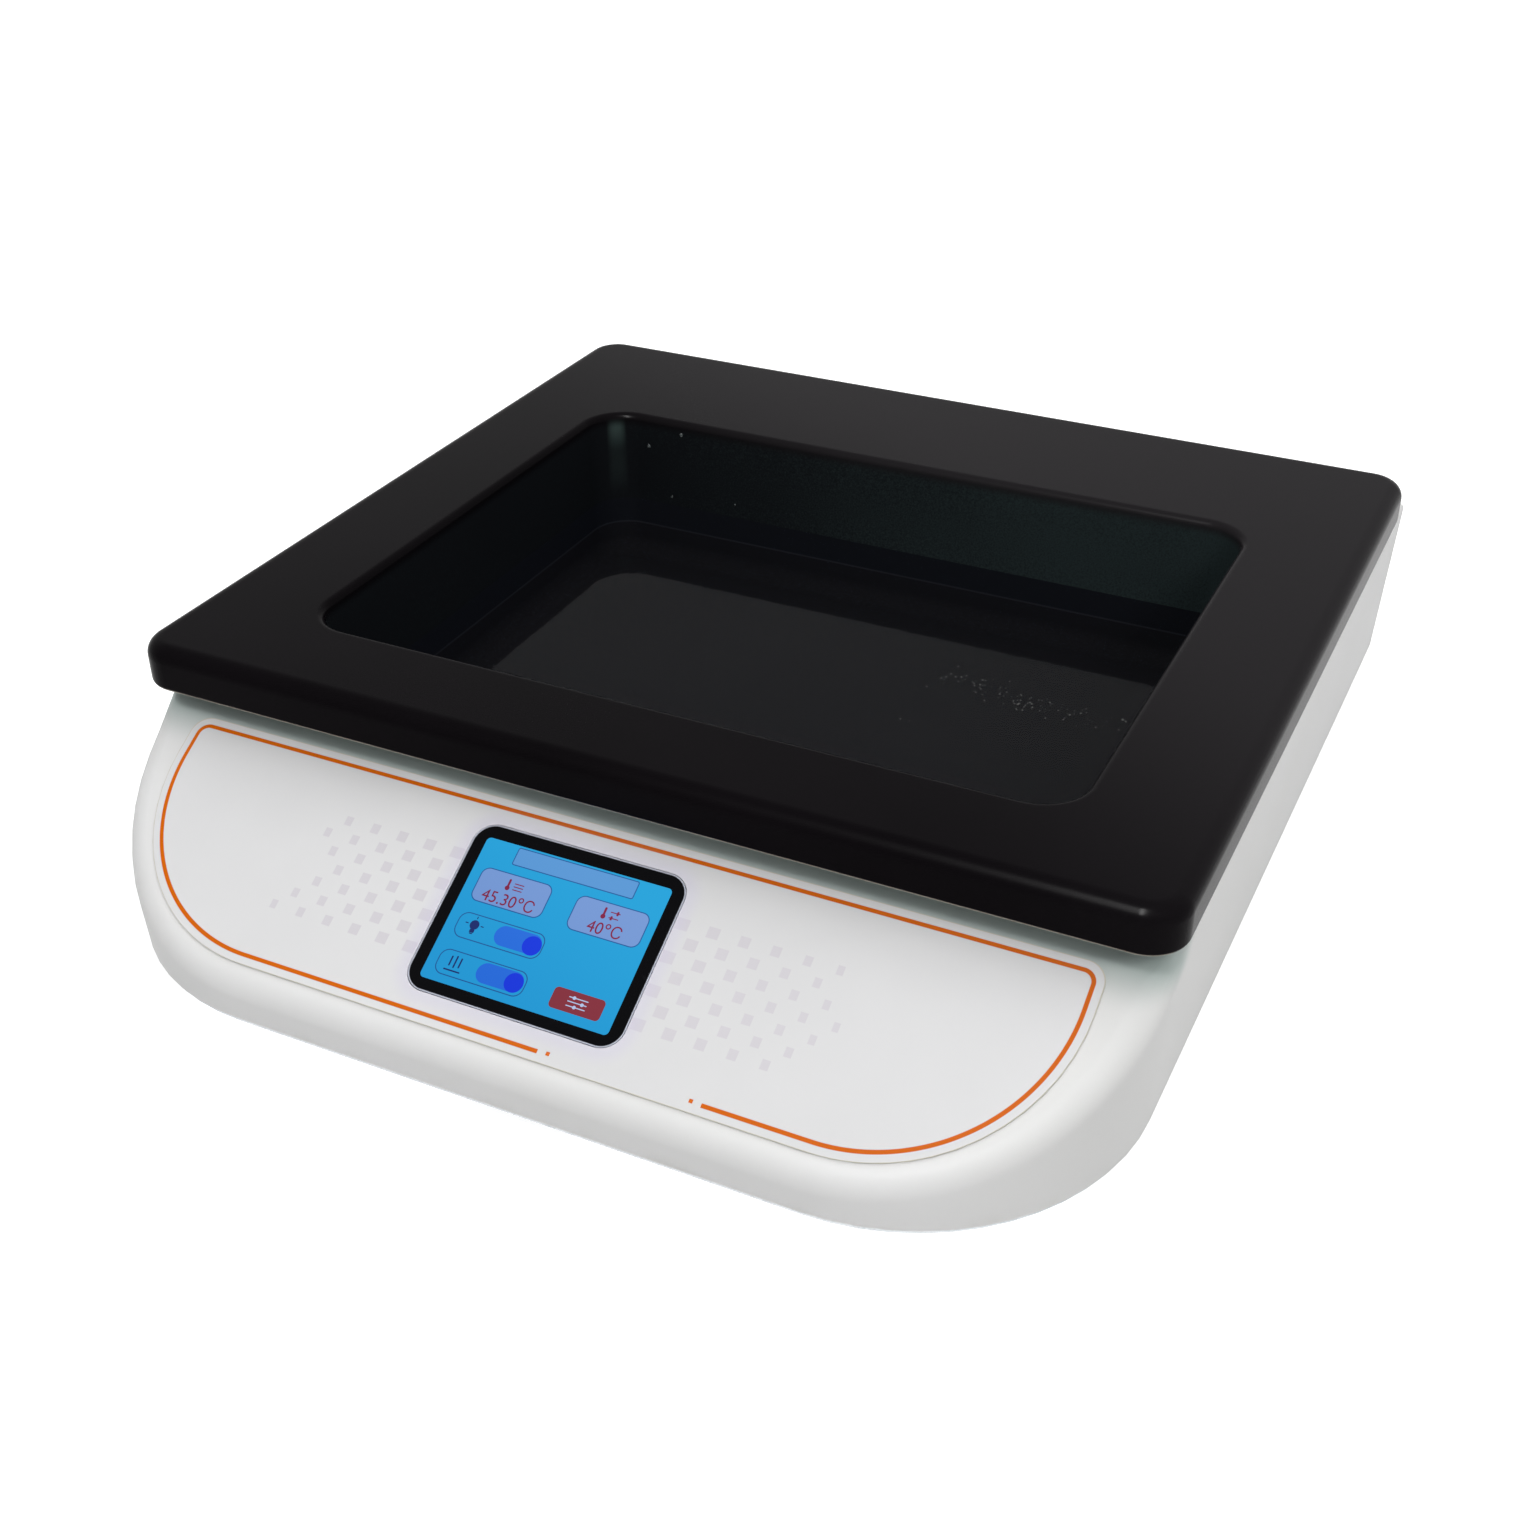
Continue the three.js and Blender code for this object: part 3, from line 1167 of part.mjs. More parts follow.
function addLeads() {
  const [lineX, lineZ] = inletPinPlaces[0];
  const lowTabZ = inletHeight - switchTabSpread;
  const highTabZ = inletHeight + switchTabSpread;
  addLead('inlet_lead', [
    [lineX, inletTabY, lineZ],
    [lineX, inletTabY - leadBend / 2, lineZ],
    [(lineX + switchOffset) / 2, inletTabY - leadBend, (lineZ + lowTabZ) / 2],
    [switchOffset, switchTabY - leadBend, lowTabZ],
    [switchOffset, switchTabY, lowTabZ],
  ], thickLead, 'redLead');
  addLead('switch_lead', [
    [switchOffset, switchTabY, highTabZ],
    [switchOffset, switchTabY - leadBend, highTabZ],
    [switchOffset - 2 * leadBend, relayCentreY, relayTopRunZ + leadClearance],
    [relayOffset, relayCentreY, relayTopRunZ],
    [supplyEndX + leadBend, relayCentreY, relayTopRunZ],
    [supplyTerminalX, relayCentreY, relayTopRunZ - leadClearance],
    [supplyTerminalX, relayCentreY, supplyTopZ],
  ], thickLead, 'redLead');
  const supplyFrontY = supplyCentreY - supplyDepth / 2;
  addLead('board_lead', [
    [supplyTerminalX, supplyFrontY + leadBend, supplyTopZ],
    [supplyTerminalX, supplyFrontY + leadBend, supplyTopZ + leadClearance],
    [supplyTerminalX, supplyFrontY, supplyTopZ + leadClearance],
    [supplyTerminalX - leadClearance, behindBowlY, supplyTopZ - leadClearance],
    [supplyTerminalX - 2 * leadBend, behindBowlY, floorRunZ],
    ...sideRun(-1),
  ], thickLead, 'blueLead');
  addLead('relay_lead', [
    [relayOffset + relayTerminalReach, relayFrontY, relayTerminalZ],
    [relayOffset + relayTerminalReach, relayFrontY - leadBend / 2, relayTerminalZ],
    [relayOffset + relayTerminalReach + leadBend, behindBowlY + leadBend, floorRunZ + leadClearance],
    [relayOffset + 5 * leadBend, behindBowlY, floorRunZ],
    ...sideRun(1),
  ], thinLead, 'greyLead');
  addLead('cutout_lead', [
    [relayOffset - relayTerminalReach, relayFrontY, relayTerminalZ],
    [relayOffset - relayTerminalReach, relayFrontY - leadBend / 2, relayTerminalZ],
    [relayOffset + relayTerminalReach, cutoutTabY + leadClearance, (relayTerminalZ + cutoutZ) / 2],
    [cutoutOffset - leadBend, cutoutTabY + leadBend / 2, cutoutZ - cutoutTabSpread],
    [cutoutOffset, cutoutTabY + leadBend / 2, cutoutZ - cutoutTabSpread],
    [cutoutOffset, cutoutTabY, cutoutZ - cutoutTabSpread],
  ], thinLead, 'redLead');
  const matEndY = bowlCentreY + (matLength + clampLength) / 4;
  addLead('heater_lead', [
    [cutoutOffset, cutoutTabY, cutoutZ + cutoutTabSpread],
    [cutoutOffset, cutoutTabY + leadBend / 2, cutoutZ + cutoutTabSpread],
    [cutoutOffset + leadBend, cutoutTabY + leadBend / 2, cutoutZ],
    [cutoutOffset + 1.5 * leadBend, behindBowlY + leadClearance, matTopZ],
    [cutoutOffset + leadBend, bowlBackY - leadBend, deviceUnderZ + leadBend],
    [matLeadOffset + leadBend, matEndY + leadBend, deviceUnderZ + leadBend / 2],
    [matLeadOffset, matEndY, clampUnderZ - leadClearance],
    [matLeadOffset, matEndY, clampTopZ],
  ], thinLead, 'redLead');
  const probeEndX = probeLength / 2 + seatGap;
  addLead('probe_lead', [
    [probeEndX, probeY, probeZ],
    [probeEndX + leadBend / 2, probeY, probeZ],
    [probeConnectorX - leadClearance, probeY - leadClearance, probeZ - seatGap],
    [probeConnectorX, (probeY + probeConnectorY) / 2, boardLeadZ],
    [probeConnectorX, probeConnectorY, boardLeadZ],
  ], probeLead, 'greyLead');
}

// Flat ribbon from the display down to the control board
function addRibbon() {
  const fromConsole = (n) => (
    new THREE.Vector3(-glassOffset, -glassSetBack, n).applyMatrix4(consoleMatrix).toArray()
  );
  const start = fromConsole(displayUnderN - seatGap);
  const below = fromConsole(displayUnderN - leadClearance);
  const endY = boardCentreY + ribbonConnectorY;
  const endZ = boardTopZ + boardConnectorHeight + seatGap;
  const points = [
    start,
    below,
    [-glassOffset, (2 * below[1] + endY) / 3, (below[2] + endZ + leadClearance) / 2],
    [-glassOffset, endY - leadClearance, endZ + leadClearance],
    [-glassOffset, endY, endZ + leadClearance / 2],
    [-glassOffset, endY, endZ],
  ];
  const section = new THREE.Shape();
  section.moveTo(-ribbonWidth / 2, -ribbonThickness / 2);
  section.lineTo(ribbonWidth / 2, -ribbonThickness / 2);
  section.lineTo(ribbonWidth / 2, ribbonThickness / 2);
  section.lineTo(-ribbonWidth / 2, ribbonThickness / 2);
  addPiece('display_ribbon', leadGeometry(points, section, leadStepsPerPoint * points.length), 'greyLead');
}

// Assembly
addPiece('basin', buildBasin(), 'coating');
addPiece('rim_gasket', buildGasket(), 'gasket');
addPiece('housing_shell', buildHousing(), 'whiteShell');
addPiece('base_plate', buildBasePlate(), 'zinc');
addScrews('basin_screw', cornerNames, basinBossPlaces, screwUp(basinScrewLength), basinScrewSeatZ);
addScrews('base_screw', cornerNames, shellBossPlaces, screwUp(baseScrewLength), baseScrewSeatZ);
footPlaces.forEach(([x, y], index) => {
  addPiece(`foot_${cornerNames[index]}`, buildFoot().translate(x, y, 0), 'rubber');
});
addScrews('foot_screw', cornerNames, footPlaces, screwUp(footScrewLength), footBoreDepth - seatGap);

addPiece('console_film', buildFilm(), 'film', consoleGroup);
const glassPlate = windowPrism(glassWidth, glassHeight, glassCorner, glassUnderN, glassTopN);
addPiece('touch_glass', glassPlate, 'glass', consoleGroup);
addPiece('display_module', buildDisplay(), 'screen', consoleGroup);
addPiece('display_bracket', buildBracket(), 'zinc', consoleGroup);
const displayScrew = smallScrew().rotateX(Math.PI).translate(0, 0, smallScrewLength);
addScrews('display_screw', cornerNames, standoffPlaces, displayScrew, displayScrewSeatN, consoleGroup);

const matPlate = flatPlate(matWidth, matLength, clampCorner, matThickness, clampTopZ + seatGap);
addPiece('heating_mat', matPlate, 'heater');
addPiece('clamp_plate', buildClampPlate(), 'zinc');
addScrews('clamp_screw', cornerNames, clampPlaces, screwUp(clampScrewLength), clampUnderZ - seatGap);
const padHeight = clampUnderZ - seatGap - deviceUnderZ;
addPiece('insulation_pad', flatPlate(padWidth, padLength, padCorner, padHeight, deviceUnderZ), 'wool');
addPiece('temperature_probe', buildProbe(), 'steel');
addPiece('thermal_cutout', buildCutout(), 'blackPlastic');
const cutoutHeadY = bowlBackFaceY + cutoutBossLength + cutoutFlangeThickness + 2 * seatGap;
const wallScrew = smallScrew().rotateX(-Math.PI / 2).translate(0, -smallScrewLength, 0);
['left', 'right'].forEach((name, index) => {
  const x = cutoutOffset + (index - 0.5) * 2 * cutoutScrewSpread;
  addPiece(`cutout_screw_${name}`, wallScrew.clone().translate(x, cutoutHeadY, cutoutZ), 'steel');
});

addPiece('control_board', buildControlBoard(), 'board');
addPiece('power_supply', buildSupply(), 'zinc');
addPiece('solid_state_relay', buildRelay(), 'blackPlastic');
addScrews('relay_screw', ['left', 'right'], relayScrewPlaces, smallScrew(), relayScrewTipZ);

addPiece('power_inlet', buildInlet(), 'blackPlastic');
['left', 'right'].forEach((name, index) => {
  const x = inletOffset + (index - 0.5) * 2 * inletScrewSpread;
  const screw = wallScrew.clone().translate(x, inletFaceY + seatGap, inletHeight);
  addPiece(`inlet_screw_${name}`, screw, 'steel');
});
addPiece('fuse_drawer', buildDrawer(), 'blackPlastic');
addPiece('fuse', buildFuse(), 'glassTube');
addPiece('switch_frame', buildSwitchFrame(), 'blackPlastic');
addPiece('power_rocker', buildRocker(), 'blackPlastic');

addLeads();
addRibbon();

export default group;
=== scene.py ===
# Laboratory water bath: finishes, console print, picture on the display and water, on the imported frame
import json
import math
import random

import bmesh
import bpy
from mathutils import Matrix, Vector


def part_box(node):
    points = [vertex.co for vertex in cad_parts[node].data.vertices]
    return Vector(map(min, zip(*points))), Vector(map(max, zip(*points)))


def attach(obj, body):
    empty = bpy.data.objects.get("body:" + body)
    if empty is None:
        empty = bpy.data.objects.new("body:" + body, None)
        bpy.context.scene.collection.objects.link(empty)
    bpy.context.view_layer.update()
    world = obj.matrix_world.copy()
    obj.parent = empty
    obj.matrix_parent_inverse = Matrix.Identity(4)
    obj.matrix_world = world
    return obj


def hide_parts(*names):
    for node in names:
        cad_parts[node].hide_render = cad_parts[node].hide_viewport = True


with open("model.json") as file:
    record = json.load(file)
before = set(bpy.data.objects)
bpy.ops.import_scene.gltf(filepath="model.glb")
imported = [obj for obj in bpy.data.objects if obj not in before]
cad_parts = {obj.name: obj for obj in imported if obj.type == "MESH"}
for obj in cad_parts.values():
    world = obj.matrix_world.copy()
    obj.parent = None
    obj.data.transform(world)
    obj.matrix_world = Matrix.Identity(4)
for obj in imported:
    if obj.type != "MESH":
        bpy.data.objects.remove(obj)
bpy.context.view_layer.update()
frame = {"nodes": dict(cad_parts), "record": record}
nodes = frame["nodes"]
mm = 0.001
print("frame loaded with", len(nodes), "nodes")


# Shader maths: a wire is one value or colour on its way through a finish

# a colour in screen levels from 0 to 255, as the light values that shaders use
def tint(levels):
    shares = [level / 255 for level in levels]
    return [part / 12.92 if part <= 0.04045 else ((part + 0.055) / 1.055) ** 2.4 for part in shares]


def operator(name, reflected=False):
    def combined(wire, other):
        first, second = (other, wire) if reflected else (wire, other)
        return wire.finish.math(name, first, second)
    return combined


class Wire:
    def __init__(self, finish, socket):
        self.finish = finish
        self.socket = socket

    def __abs__(self):
        return self.finish.math("ABSOLUTE", self)

    __add__ = __radd__ = operator("ADD")
    __mul__ = __rmul__ = operator("MULTIPLY")
    __sub__ = operator("SUBTRACT")
    __rsub__ = operator("SUBTRACT", reflected=True)
    __truediv__ = operator("DIVIDE")
    __gt__ = operator("GREATER_THAN")
    __lt__ = operator("LESS_THAN")


# the nodes of one material, or of the world when it is given as the owner
class Finish:
    def __init__(self, name, owner=None):
        self.owner = owner or bpy.data.materials.new(name)
        self.owner.use_nodes = True
        self.tree = self.owner.node_tree
        self.tree.nodes.clear()

    # any node: its type, its settings, then its sockets' wires, values or colours in screen levels
    def node(self, kind, settings=None, inputs=None, output=0):
        made = self.tree.nodes.new("ShaderNode" + kind)
        for key, value in (settings or {}).items():
            setattr(made, key, value)
        for key, value in (inputs or {}).items():
            socket = made.inputs[key]
            if isinstance(value, Wire):
                self.tree.links.new(value.socket, socket)
            elif socket.type == "RGBA":
                socket.default_value = (*tint(value), 1)
            else:
                socket.default_value = value
        return Wire(self, made.outputs[output]) if made.outputs else None

    def math(self, operation, first, second=None):
        inputs = {0: first} if second is None else {0: first, 1: second}
        return self.node("Math", {"operation": operation}, inputs)

    def smaller(self, first, second):
        return self.math("MINIMUM", first, second)

    def larger(self, first, second):
        return self.math("MAXIMUM", first, second)

    def rise(self, value, low, high):
        settings = {"interpolation_type": "SMOOTHSTEP"}
        return self.node("MapRange", settings, {"Value": value, "From Min": low, "From Max": high})

    def fall(self, value, low, high):
        return 1 - self.rise(value, low, high)

    def blend(self, share, first, second):
        return self.node("Mix", {"data_type": "RGBA"}, {0: share, 6: first, 7: second}, 2)

    # two colours that a pattern mixes in soft patches
    def patches(self, pattern, first, second, low=0.35, high=0.7):
        return self.blend(self.rise(pattern, low, high), first, second)

    def place(self, centre=(0, 0, 0), turn=(0, 0, 0), stretch=(1, 1, 1)):
        coordinates = self.node("TexCoord", output=3)
        if stretch == (1, 1, 1) and not any(centre + turn):
            return coordinates
        inputs = {"Vector": coordinates, "Location": centre, "Rotation": turn, "Scale": stretch}
        return self.node("Mapping", {"vector_type": "TEXTURE"}, inputs)

    def outputs(self, wire, keys):
        return [Wire(self, wire.socket.node.outputs[key]) for key in keys]

    def axes(self, vector):
        return self.outputs(self.node("SeparateXYZ", inputs={0: vector}), range(3))

    # 1 for a ray that the camera sees straight, in a mirror or through glass
    def seen(self):
        kinds = ("Is Camera Ray", "Is Glossy Ray", "Is Transmission Ray")
        straight, mirrored, bent = self.outputs(self.node("LightPath"), kinds)
        return straight + mirrored + bent

    def noise(self, scale, detail=3, vector=None, rough=0.5):
        inputs = {"Vector": vector or self.place(), "Scale": scale, "Detail": detail, "Roughness": rough}
        return self.node("TexNoise", {}, inputs)

    def cells(self, scale, output=0):
        return self.node("TexVoronoi", {}, {"Vector": self.place(), "Scale": scale}, output)

    # the depth is in millimetres
    def bump(self, height, depth, strength):
        return self.node("Bump", {}, {"Height": height, "Distance": depth * mm, "Strength": strength})

    # how far a spot lies outside a round corner, from its reaches past the corner's centre
    def pastCorner(self, reachX, reachY, corner):
        outX = self.larger(reachX, 0)
        outY = self.larger(reachY, 0)
        far = self.math("SQRT", outX * outX + outY * outY)
        return self.smaller(self.larger(reachX, reachY), 0) + far - corner

    def surface(self, colour, roughness, metallic=0.0, normal=None, specular=0.5, **others):
        inputs = {key.replace("_", " "): value for key, value in others.items()}
        inputs |= {"Base Color": colour, "Roughness": roughness, "Metallic": metallic}
        inputs["Specular IOR Level"] = specular
        if normal:
            inputs["Normal"] = normal
        return self.done(self.node("BsdfPrincipled", {}, inputs))

    def done(self, shader, output="OutputMaterial"):
        self.node(output, {}, {"Surface": shader})
        return self.owner


# Camera, floor and light

def linked(name, data):
    made = bpy.data.objects.new(name, data)
    bpy.context.scene.collection.objects.link(made)
    return made


def meshed(name, shape):
    mesh = bpy.data.meshes.new(name)
    shape.to_mesh(mesh)
    shape.free()
    return linked(name, mesh)


def aimedCamera():
    view = {
        "place": (0.2814, -0.6000, 0.4345), "towards": (-0.3683, 0.7584, -0.5377), "roll": 0.0053,
        "lens": 45.93, "sensor": 36, "near": 0.01,
    }
    ahead = Vector(view["towards"]).normalized()
    right = ahead.cross(Vector((0, 0, 1))).normalized()
    up = right.cross(ahead)
    tiltedRight = (right - up * view["roll"]).normalized()
    tiltedUp = (up + right * view["roll"]).normalized()
    turn = Matrix((tiltedRight, tiltedUp, -ahead)).transposed().to_4x4()
    data = bpy.data.cameras.new("photoCamera")
    data.lens = view["lens"]
    data.sensor_width = view["sensor"]
    data.clip_start = view["near"]
    camera = linked("photoCamera", data)
    camera.matrix_world = Matrix.Translation(view["place"]) @ turn
    bpy.context.scene.camera = camera


# a white room that looks brighter than the light it gives
def whiteRoom():
    room = {"fill": 0.42, "seen": 1.0, "floorShare": 0.78, "floorGrey": 206.41438, "floorHalf": 9}
    world = bpy.data.worlds.new("studio")
    bpy.context.scene.world = world
    sky = Finish("studio", world)
    shares = {"Value": sky.smaller(sky.seen(), 1), "To Min": room["fill"], "To Max": room["seen"]}
    strength = sky.node("MapRange", {}, shares)
    glow = sky.node("Background", {}, {"Color": (255, 255, 255), "Strength": strength})
    sky.done(glow, "OutputWorld")

    shape = bmesh.new()
    bmesh.ops.create_grid(shape, x_segments=1, y_segments=1, size=room["floorHalf"])
    floor = meshed("floor", shape)
    paper = Finish("floorPaper")
    matt = paper.node("BsdfDiffuse", {}, {"Color": [room["floorGrey"]] * 3})
    shine = paper.node("Emission", {}, {"Strength": paper.seen() * room["floorShare"]})
    floor.data.materials.append(paper.done(paper.node("AddShader", {}, {0: matt, 1: shine})))


# a lamp gives light, or only the glints on what is glossy
def lampsAround():
    light = {
        "aim": (0, 0, 0.05),
        "lamps": [  # name, place, size, power, and whether it only glints
            ("leftLamp", (-1.3, -1.0, 1.6), (0.9, 0.9), 0.5, False),
            ("rightLamp", (1.25, -1.0, 1.35), (0.5, 0.5), 9.6, False),
            ("frontLamp", (-0.25, -1.4, 1.83), (0.20, 0.20), 8, False),
            ("stripLamp", (0.08, -1.4, 1.83), (0.05, 1.2), 180, True),
            ("topLamp", (0.1, 0.2, 2.1), (1.6, 1.6), 13.5, False),
            ("backLamp", (-0.9, 2.1, 0.55), (1.0, 0.5), 18, False),
        ],
    }
    for name, place, size, power, glints in light["lamps"]:
        data = bpy.data.lights.new(name, "AREA")
        data.shape = "RECTANGLE"
        data.size, data.size_y = size
        data.energy = power
        lamp = linked(name, data)
        lamp.location = place
        lamp.rotation_euler = (Vector(light["aim"]) - Vector(place)).to_track_quat("-Z", "Y").to_euler()
        lamp.visible_diffuse = not glints
        lamp.visible_glossy = glints


aimedCamera()
whiteRoom()
lampsAround()
scene = bpy.context.scene
scene.view_settings.view_transform = "Standard"
print("camera, floor and light are set")


# Sizes that several pieces share, in millimetres

low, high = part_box("basin")
rim = {
    "front": low.y / mm, "back": high.y / mm, "top": high.z / mm,
    "width": (high.x - low.x) / mm, "depth": (high.y - low.y) / mm, "corner": 14,
}
bowl = {
    "width": 291, "depth": 220, "corner": 17, "middle": rim["front"] + 151,
    "floor": 32, "floorEdge": 8, "draft": 1, "steps": 14,
}
console = {"top": rim["top"] * 0.6633, "tilt": math.radians(30)}
touchPanel = {"across": -5.4, "up": -32.3, "width": 80, "height": 62, "corner": 7.7}
consoleOrigin = (0, rim["front"] * mm, console["top"] * mm)
consolePlace = Matrix.Translation(consoleOrigin) @ Matrix.Rotation(console["tilt"], 4, "X")


# console coordinates in millimetres: across, up the slope and out of it
def consoleAxes(finish):
    return finish.axes(finish.place(consoleOrigin, (console["tilt"], 0, 0), (mm, mm, mm)))


# how far a spot on the console lies outside the touch glass
def fromTouchGlass(finish, x, s):
    corner = touchPanel["corner"]
    reachX = abs(x - touchPanel["across"]) - (touchPanel["width"] / 2 - corner)
    reachS = abs(s - touchPanel["up"]) - (touchPanel["height"] / 2 - corner)
    return finish.pastCorner(reachX, reachS, corner)


# Finishes, one for each kind of surface, in metres, or in millimetres where mm stretches the place

def coatingFinish():
    look = {
        "rim": (9, 7, 9), "rimWorn": (13, 10, 13), "rimPaintedSheen": (33, 31, 33),
        "paintedSheen": (-0.05, 0.16), "cloud": 9, "drift": 12, "grain": 1700, "flake": 1500,
        "foot": (206, 198, 184), "paintedLightZ": (0.0819, 0.0825), "paintedLightDepth": 0.006,
        "bowl": (22, 24, 27), "bowlFlake": (42, 52, 53), "flakes": (0.15, 0.62),
        "mouthHalf": (0.1505, 0.1155), "mouthMiddleY": 0.0037, "mouthZ": (0.0915, 0.0965),
        "corner": (96, 118, 114), "cornerGlintAim": (0.8707, 1.1144, 0.0347), "cornerGlintReach": (0.2395, 0.2406),
        "cornerGlintLowZ": (0.058, 0.074), "cornerGlintHighZ": (0.080, 0.094),
        "wetPaintedShade": (24, 26, 33), "wetFloor": (18, 18, 21), "wetFlake": (25, 25, 29),
        "wetPaintedPale": (27, 27, 32), "paintedHighlightLine": (52, 54, 62),
        "waterZ": 0.058, "wetPaintedPaleZ": (0.032, 0.044), "lineZ": 0.0464, "lineHalf": 0.0004, "highlightLineBlur": 0.0002,
    }
    coat = Finish("basinCoating")
    x, y, z = coat.axes(coat.place())
    cloud = coat.noise(look["cloud"], 4)
    grain = coat.noise(look["grain"], 2)
    rimColour = coat.patches(cloud * 0.7 + grain * 0.3, look["rim"], look["rimWorn"])
    # painted sheen: the rim's colour is painted lighter towards the right and the back, where more reflection
    # shows
    paintedSheen = coat.rise(x * 0.8 + y + grain * 0.01, *look["paintedSheen"])
    rimColour = coat.blend(paintedSheen, rimColour, look["rimPaintedSheen"])
    flake = coat.noise(look["flake"], 2)
    # the flakes are the coating's own; their growth towards the right is painted light, a brighter right end
    # of the back wall
    flakesAndPaintedLight = flake * 0.5 + coat.noise(look["drift"], 2) * 0.2 + x * 1.4
    bowlColour = coat.patches(flakesAndPaintedLight, look["bowl"], look["bowlFlake"], *look["flakes"])
    # painted highlight: light caught in the corner between the left wall and the back one, painted brighter
    # towards the top
    aimX, aimY, aimZ = look["cornerGlintAim"]
    corner = coat.rise(y * aimY - x * aimX - z * aimZ, *look["cornerGlintReach"])
    corner = corner * (coat.rise(z, *look["cornerGlintLowZ"]) * 0.06 + coat.rise(z, *look["cornerGlintHighZ"]) * 0.34)
    bowlColour = coat.blend(corner, bowlColour, look["corner"])
    # painted light and shade of the water: under it the wall is painted dark down to a fine line, a painted
    # highlight, and the floor is painted a little lighter
    wet = z < look["waterZ"]
    lineZ = look["lineZ"]
    wetPaintedColour = coat.patches(flake, look["wetFloor"], look["wetFlake"], 0.4, 0.65)
    wetPaintedColour = coat.blend(coat.rise(z, *look["wetPaintedPaleZ"]), wetPaintedColour, look["wetPaintedPale"])
    aboveLine = coat.rise(z, lineZ - look["highlightLineBlur"], lineZ + look["highlightLineBlur"])
    wetPaintedColour = coat.blend(aboveLine, wetPaintedColour, look["wetPaintedShade"])
    wetPaintedColour = coat.blend((abs(z - lineZ) < look["lineHalf"]) * 0.5, wetPaintedColour, look["paintedHighlightLine"])
    bowlColour = coat.blend(wet, bowlColour, wetPaintedColour)
    halfX, halfY = look["mouthHalf"]
    inBowl = (abs(x) < halfX) * (abs(y - look["mouthMiddleY"]) < halfY) * coat.fall(z, *look["mouthZ"])
    colour = coat.blend(inBowl, rimColour, bowlColour)
    # painted light: the light from the housing, painted on the foot of the rim's skirt
    foot = coat.fall(z, *look["paintedLightZ"]) * (y < rim["front"] * mm + look["paintedLightDepth"])
    colour = coat.blend(foot * 0.6, colour, look["foot"])
    roughness = 0.20 + cloud * 0.04 + grain * 0.05 + wet * inBowl * 0.6
    normal = coat.bump(grain + flake * 0.5, 0.03, 0.3)
    return coat.surface(colour, roughness, normal=normal, specular=0.016)


def shellFinish():
    look = {
        "white": (232, 232, 232), "shade": (228, 228, 227),
        "lowerTone": (218, 218, 214), "lowerToneZ": (0.010, 0.016),
        "paintedRimShadow": (150, 176, 170), "paintedRimShadowZ": (0.062, 0.075), "paintedRimShadowDepth": (0.006, 0.03),
        "cloud": 7, "spark": 2100, "lowerPatches": 60,
    }
    shell = Finish("shellMoulding")
    y, z = shell.axes(shell.place())[1:]
    cloud = shell.noise(look["cloud"])
    spark = shell.noise(look["spark"], 2)
    colour = shell.patches(cloud, look["white"], look["shade"])
    # darker in patches towards the bottom
    low = shell.fall(z, *look["lowerToneZ"]) * shell.rise(shell.noise(look["lowerPatches"], 4), 0.45, 0.75)
    colour = shell.blend(low * 0.5, colour, look["lowerTone"])
    # painted shadow: the shell is painted greenish grey just under the rim's front
    near, far = [rim["front"] * mm + depth for depth in look["paintedRimShadowDepth"]]
    shaded = shell.rise(z, *look["paintedRimShadowZ"]) * shell.fall(y, near, far)
    colour = shell.blend(shaded * 0.9, colour, look["paintedRimShadow"])
    roughness = 0.42 + spark * 0.10 + cloud * 0.04
    return shell.surface(colour, roughness, normal=shell.bump(spark, 0.02, 0.3), specular=0.08)


# staggered rows of squares beside the display, smaller away from it
def printedSquares(film, x, s):
    squares = {  # pairs are right and left, or across and down
        "start": (37.6, 48.5), "top": (-16.7, -14.8), "end": (57, 52), "fourth": (5, -6),
        "seventh": (-7, 5), "step": (11.0, 5.96), "half": (2.35, 2.1), "shrink": (1.2, 0.45),
        "span": 60, "rows": 7, "edge": (-0.25, 0.1),
    }
    isRight = x > 0

    def bySide(key):
        right, left = squares[key]
        return isRight * right + (1 - isRight) * left

    stepX, stepY = squares["step"]
    halfX, halfY = squares["half"]
    shrinkX, shrinkY = squares["shrink"]
    across = abs(x) - bySide("start")
    down = (bySide("top") - s) / stepY
    row = film.math("ROUND", down)
    steps = (across - film.math("PINGPONG", row, 1) * (stepX / 2)) / stepX
    column = film.math("ROUND", steps)
    fourth = 1 - film.smaller(abs(row - 3), 1)
    seventh = 1 - film.smaller(abs(row - 6), 1)
    end = bySide("end") + fourth * bySide("fourth") + seventh * bySide("seventh")
    reach = across / squares["span"]
    awayX = abs(steps - column) * stepX - (halfX - reach * shrinkX)
    awayY = abs(down - row) * stepY - (halfY - reach * shrinkY)
    inside = film.fall(film.larger(awayX, awayY), *squares["edge"])
    inRows = (row > -0.5) * (row < squares["rows"] - 0.5)
    return inside * (column > -0.5) * (across < end) * inRows


# how far a spot lies outside the printed border: round at the bottom, nearly square at the top
def fromBorder(film, x, s):
    border = {"half": 167.6, "bottom": -70.4, "bottomCorner": 63.4, "top": 5.2, "topCorner": 4}
    corner = border["bottomCorner"]
    below = film.pastCorner(abs(x) - (border["half"] - corner), border["bottom"] + corner - s, corner)
    corner = border["topCorner"]
    above = film.pastCorner(abs(x) - (border["half"] - corner), s - (border["top"] - corner), corner)
    return film.larger(below, above)


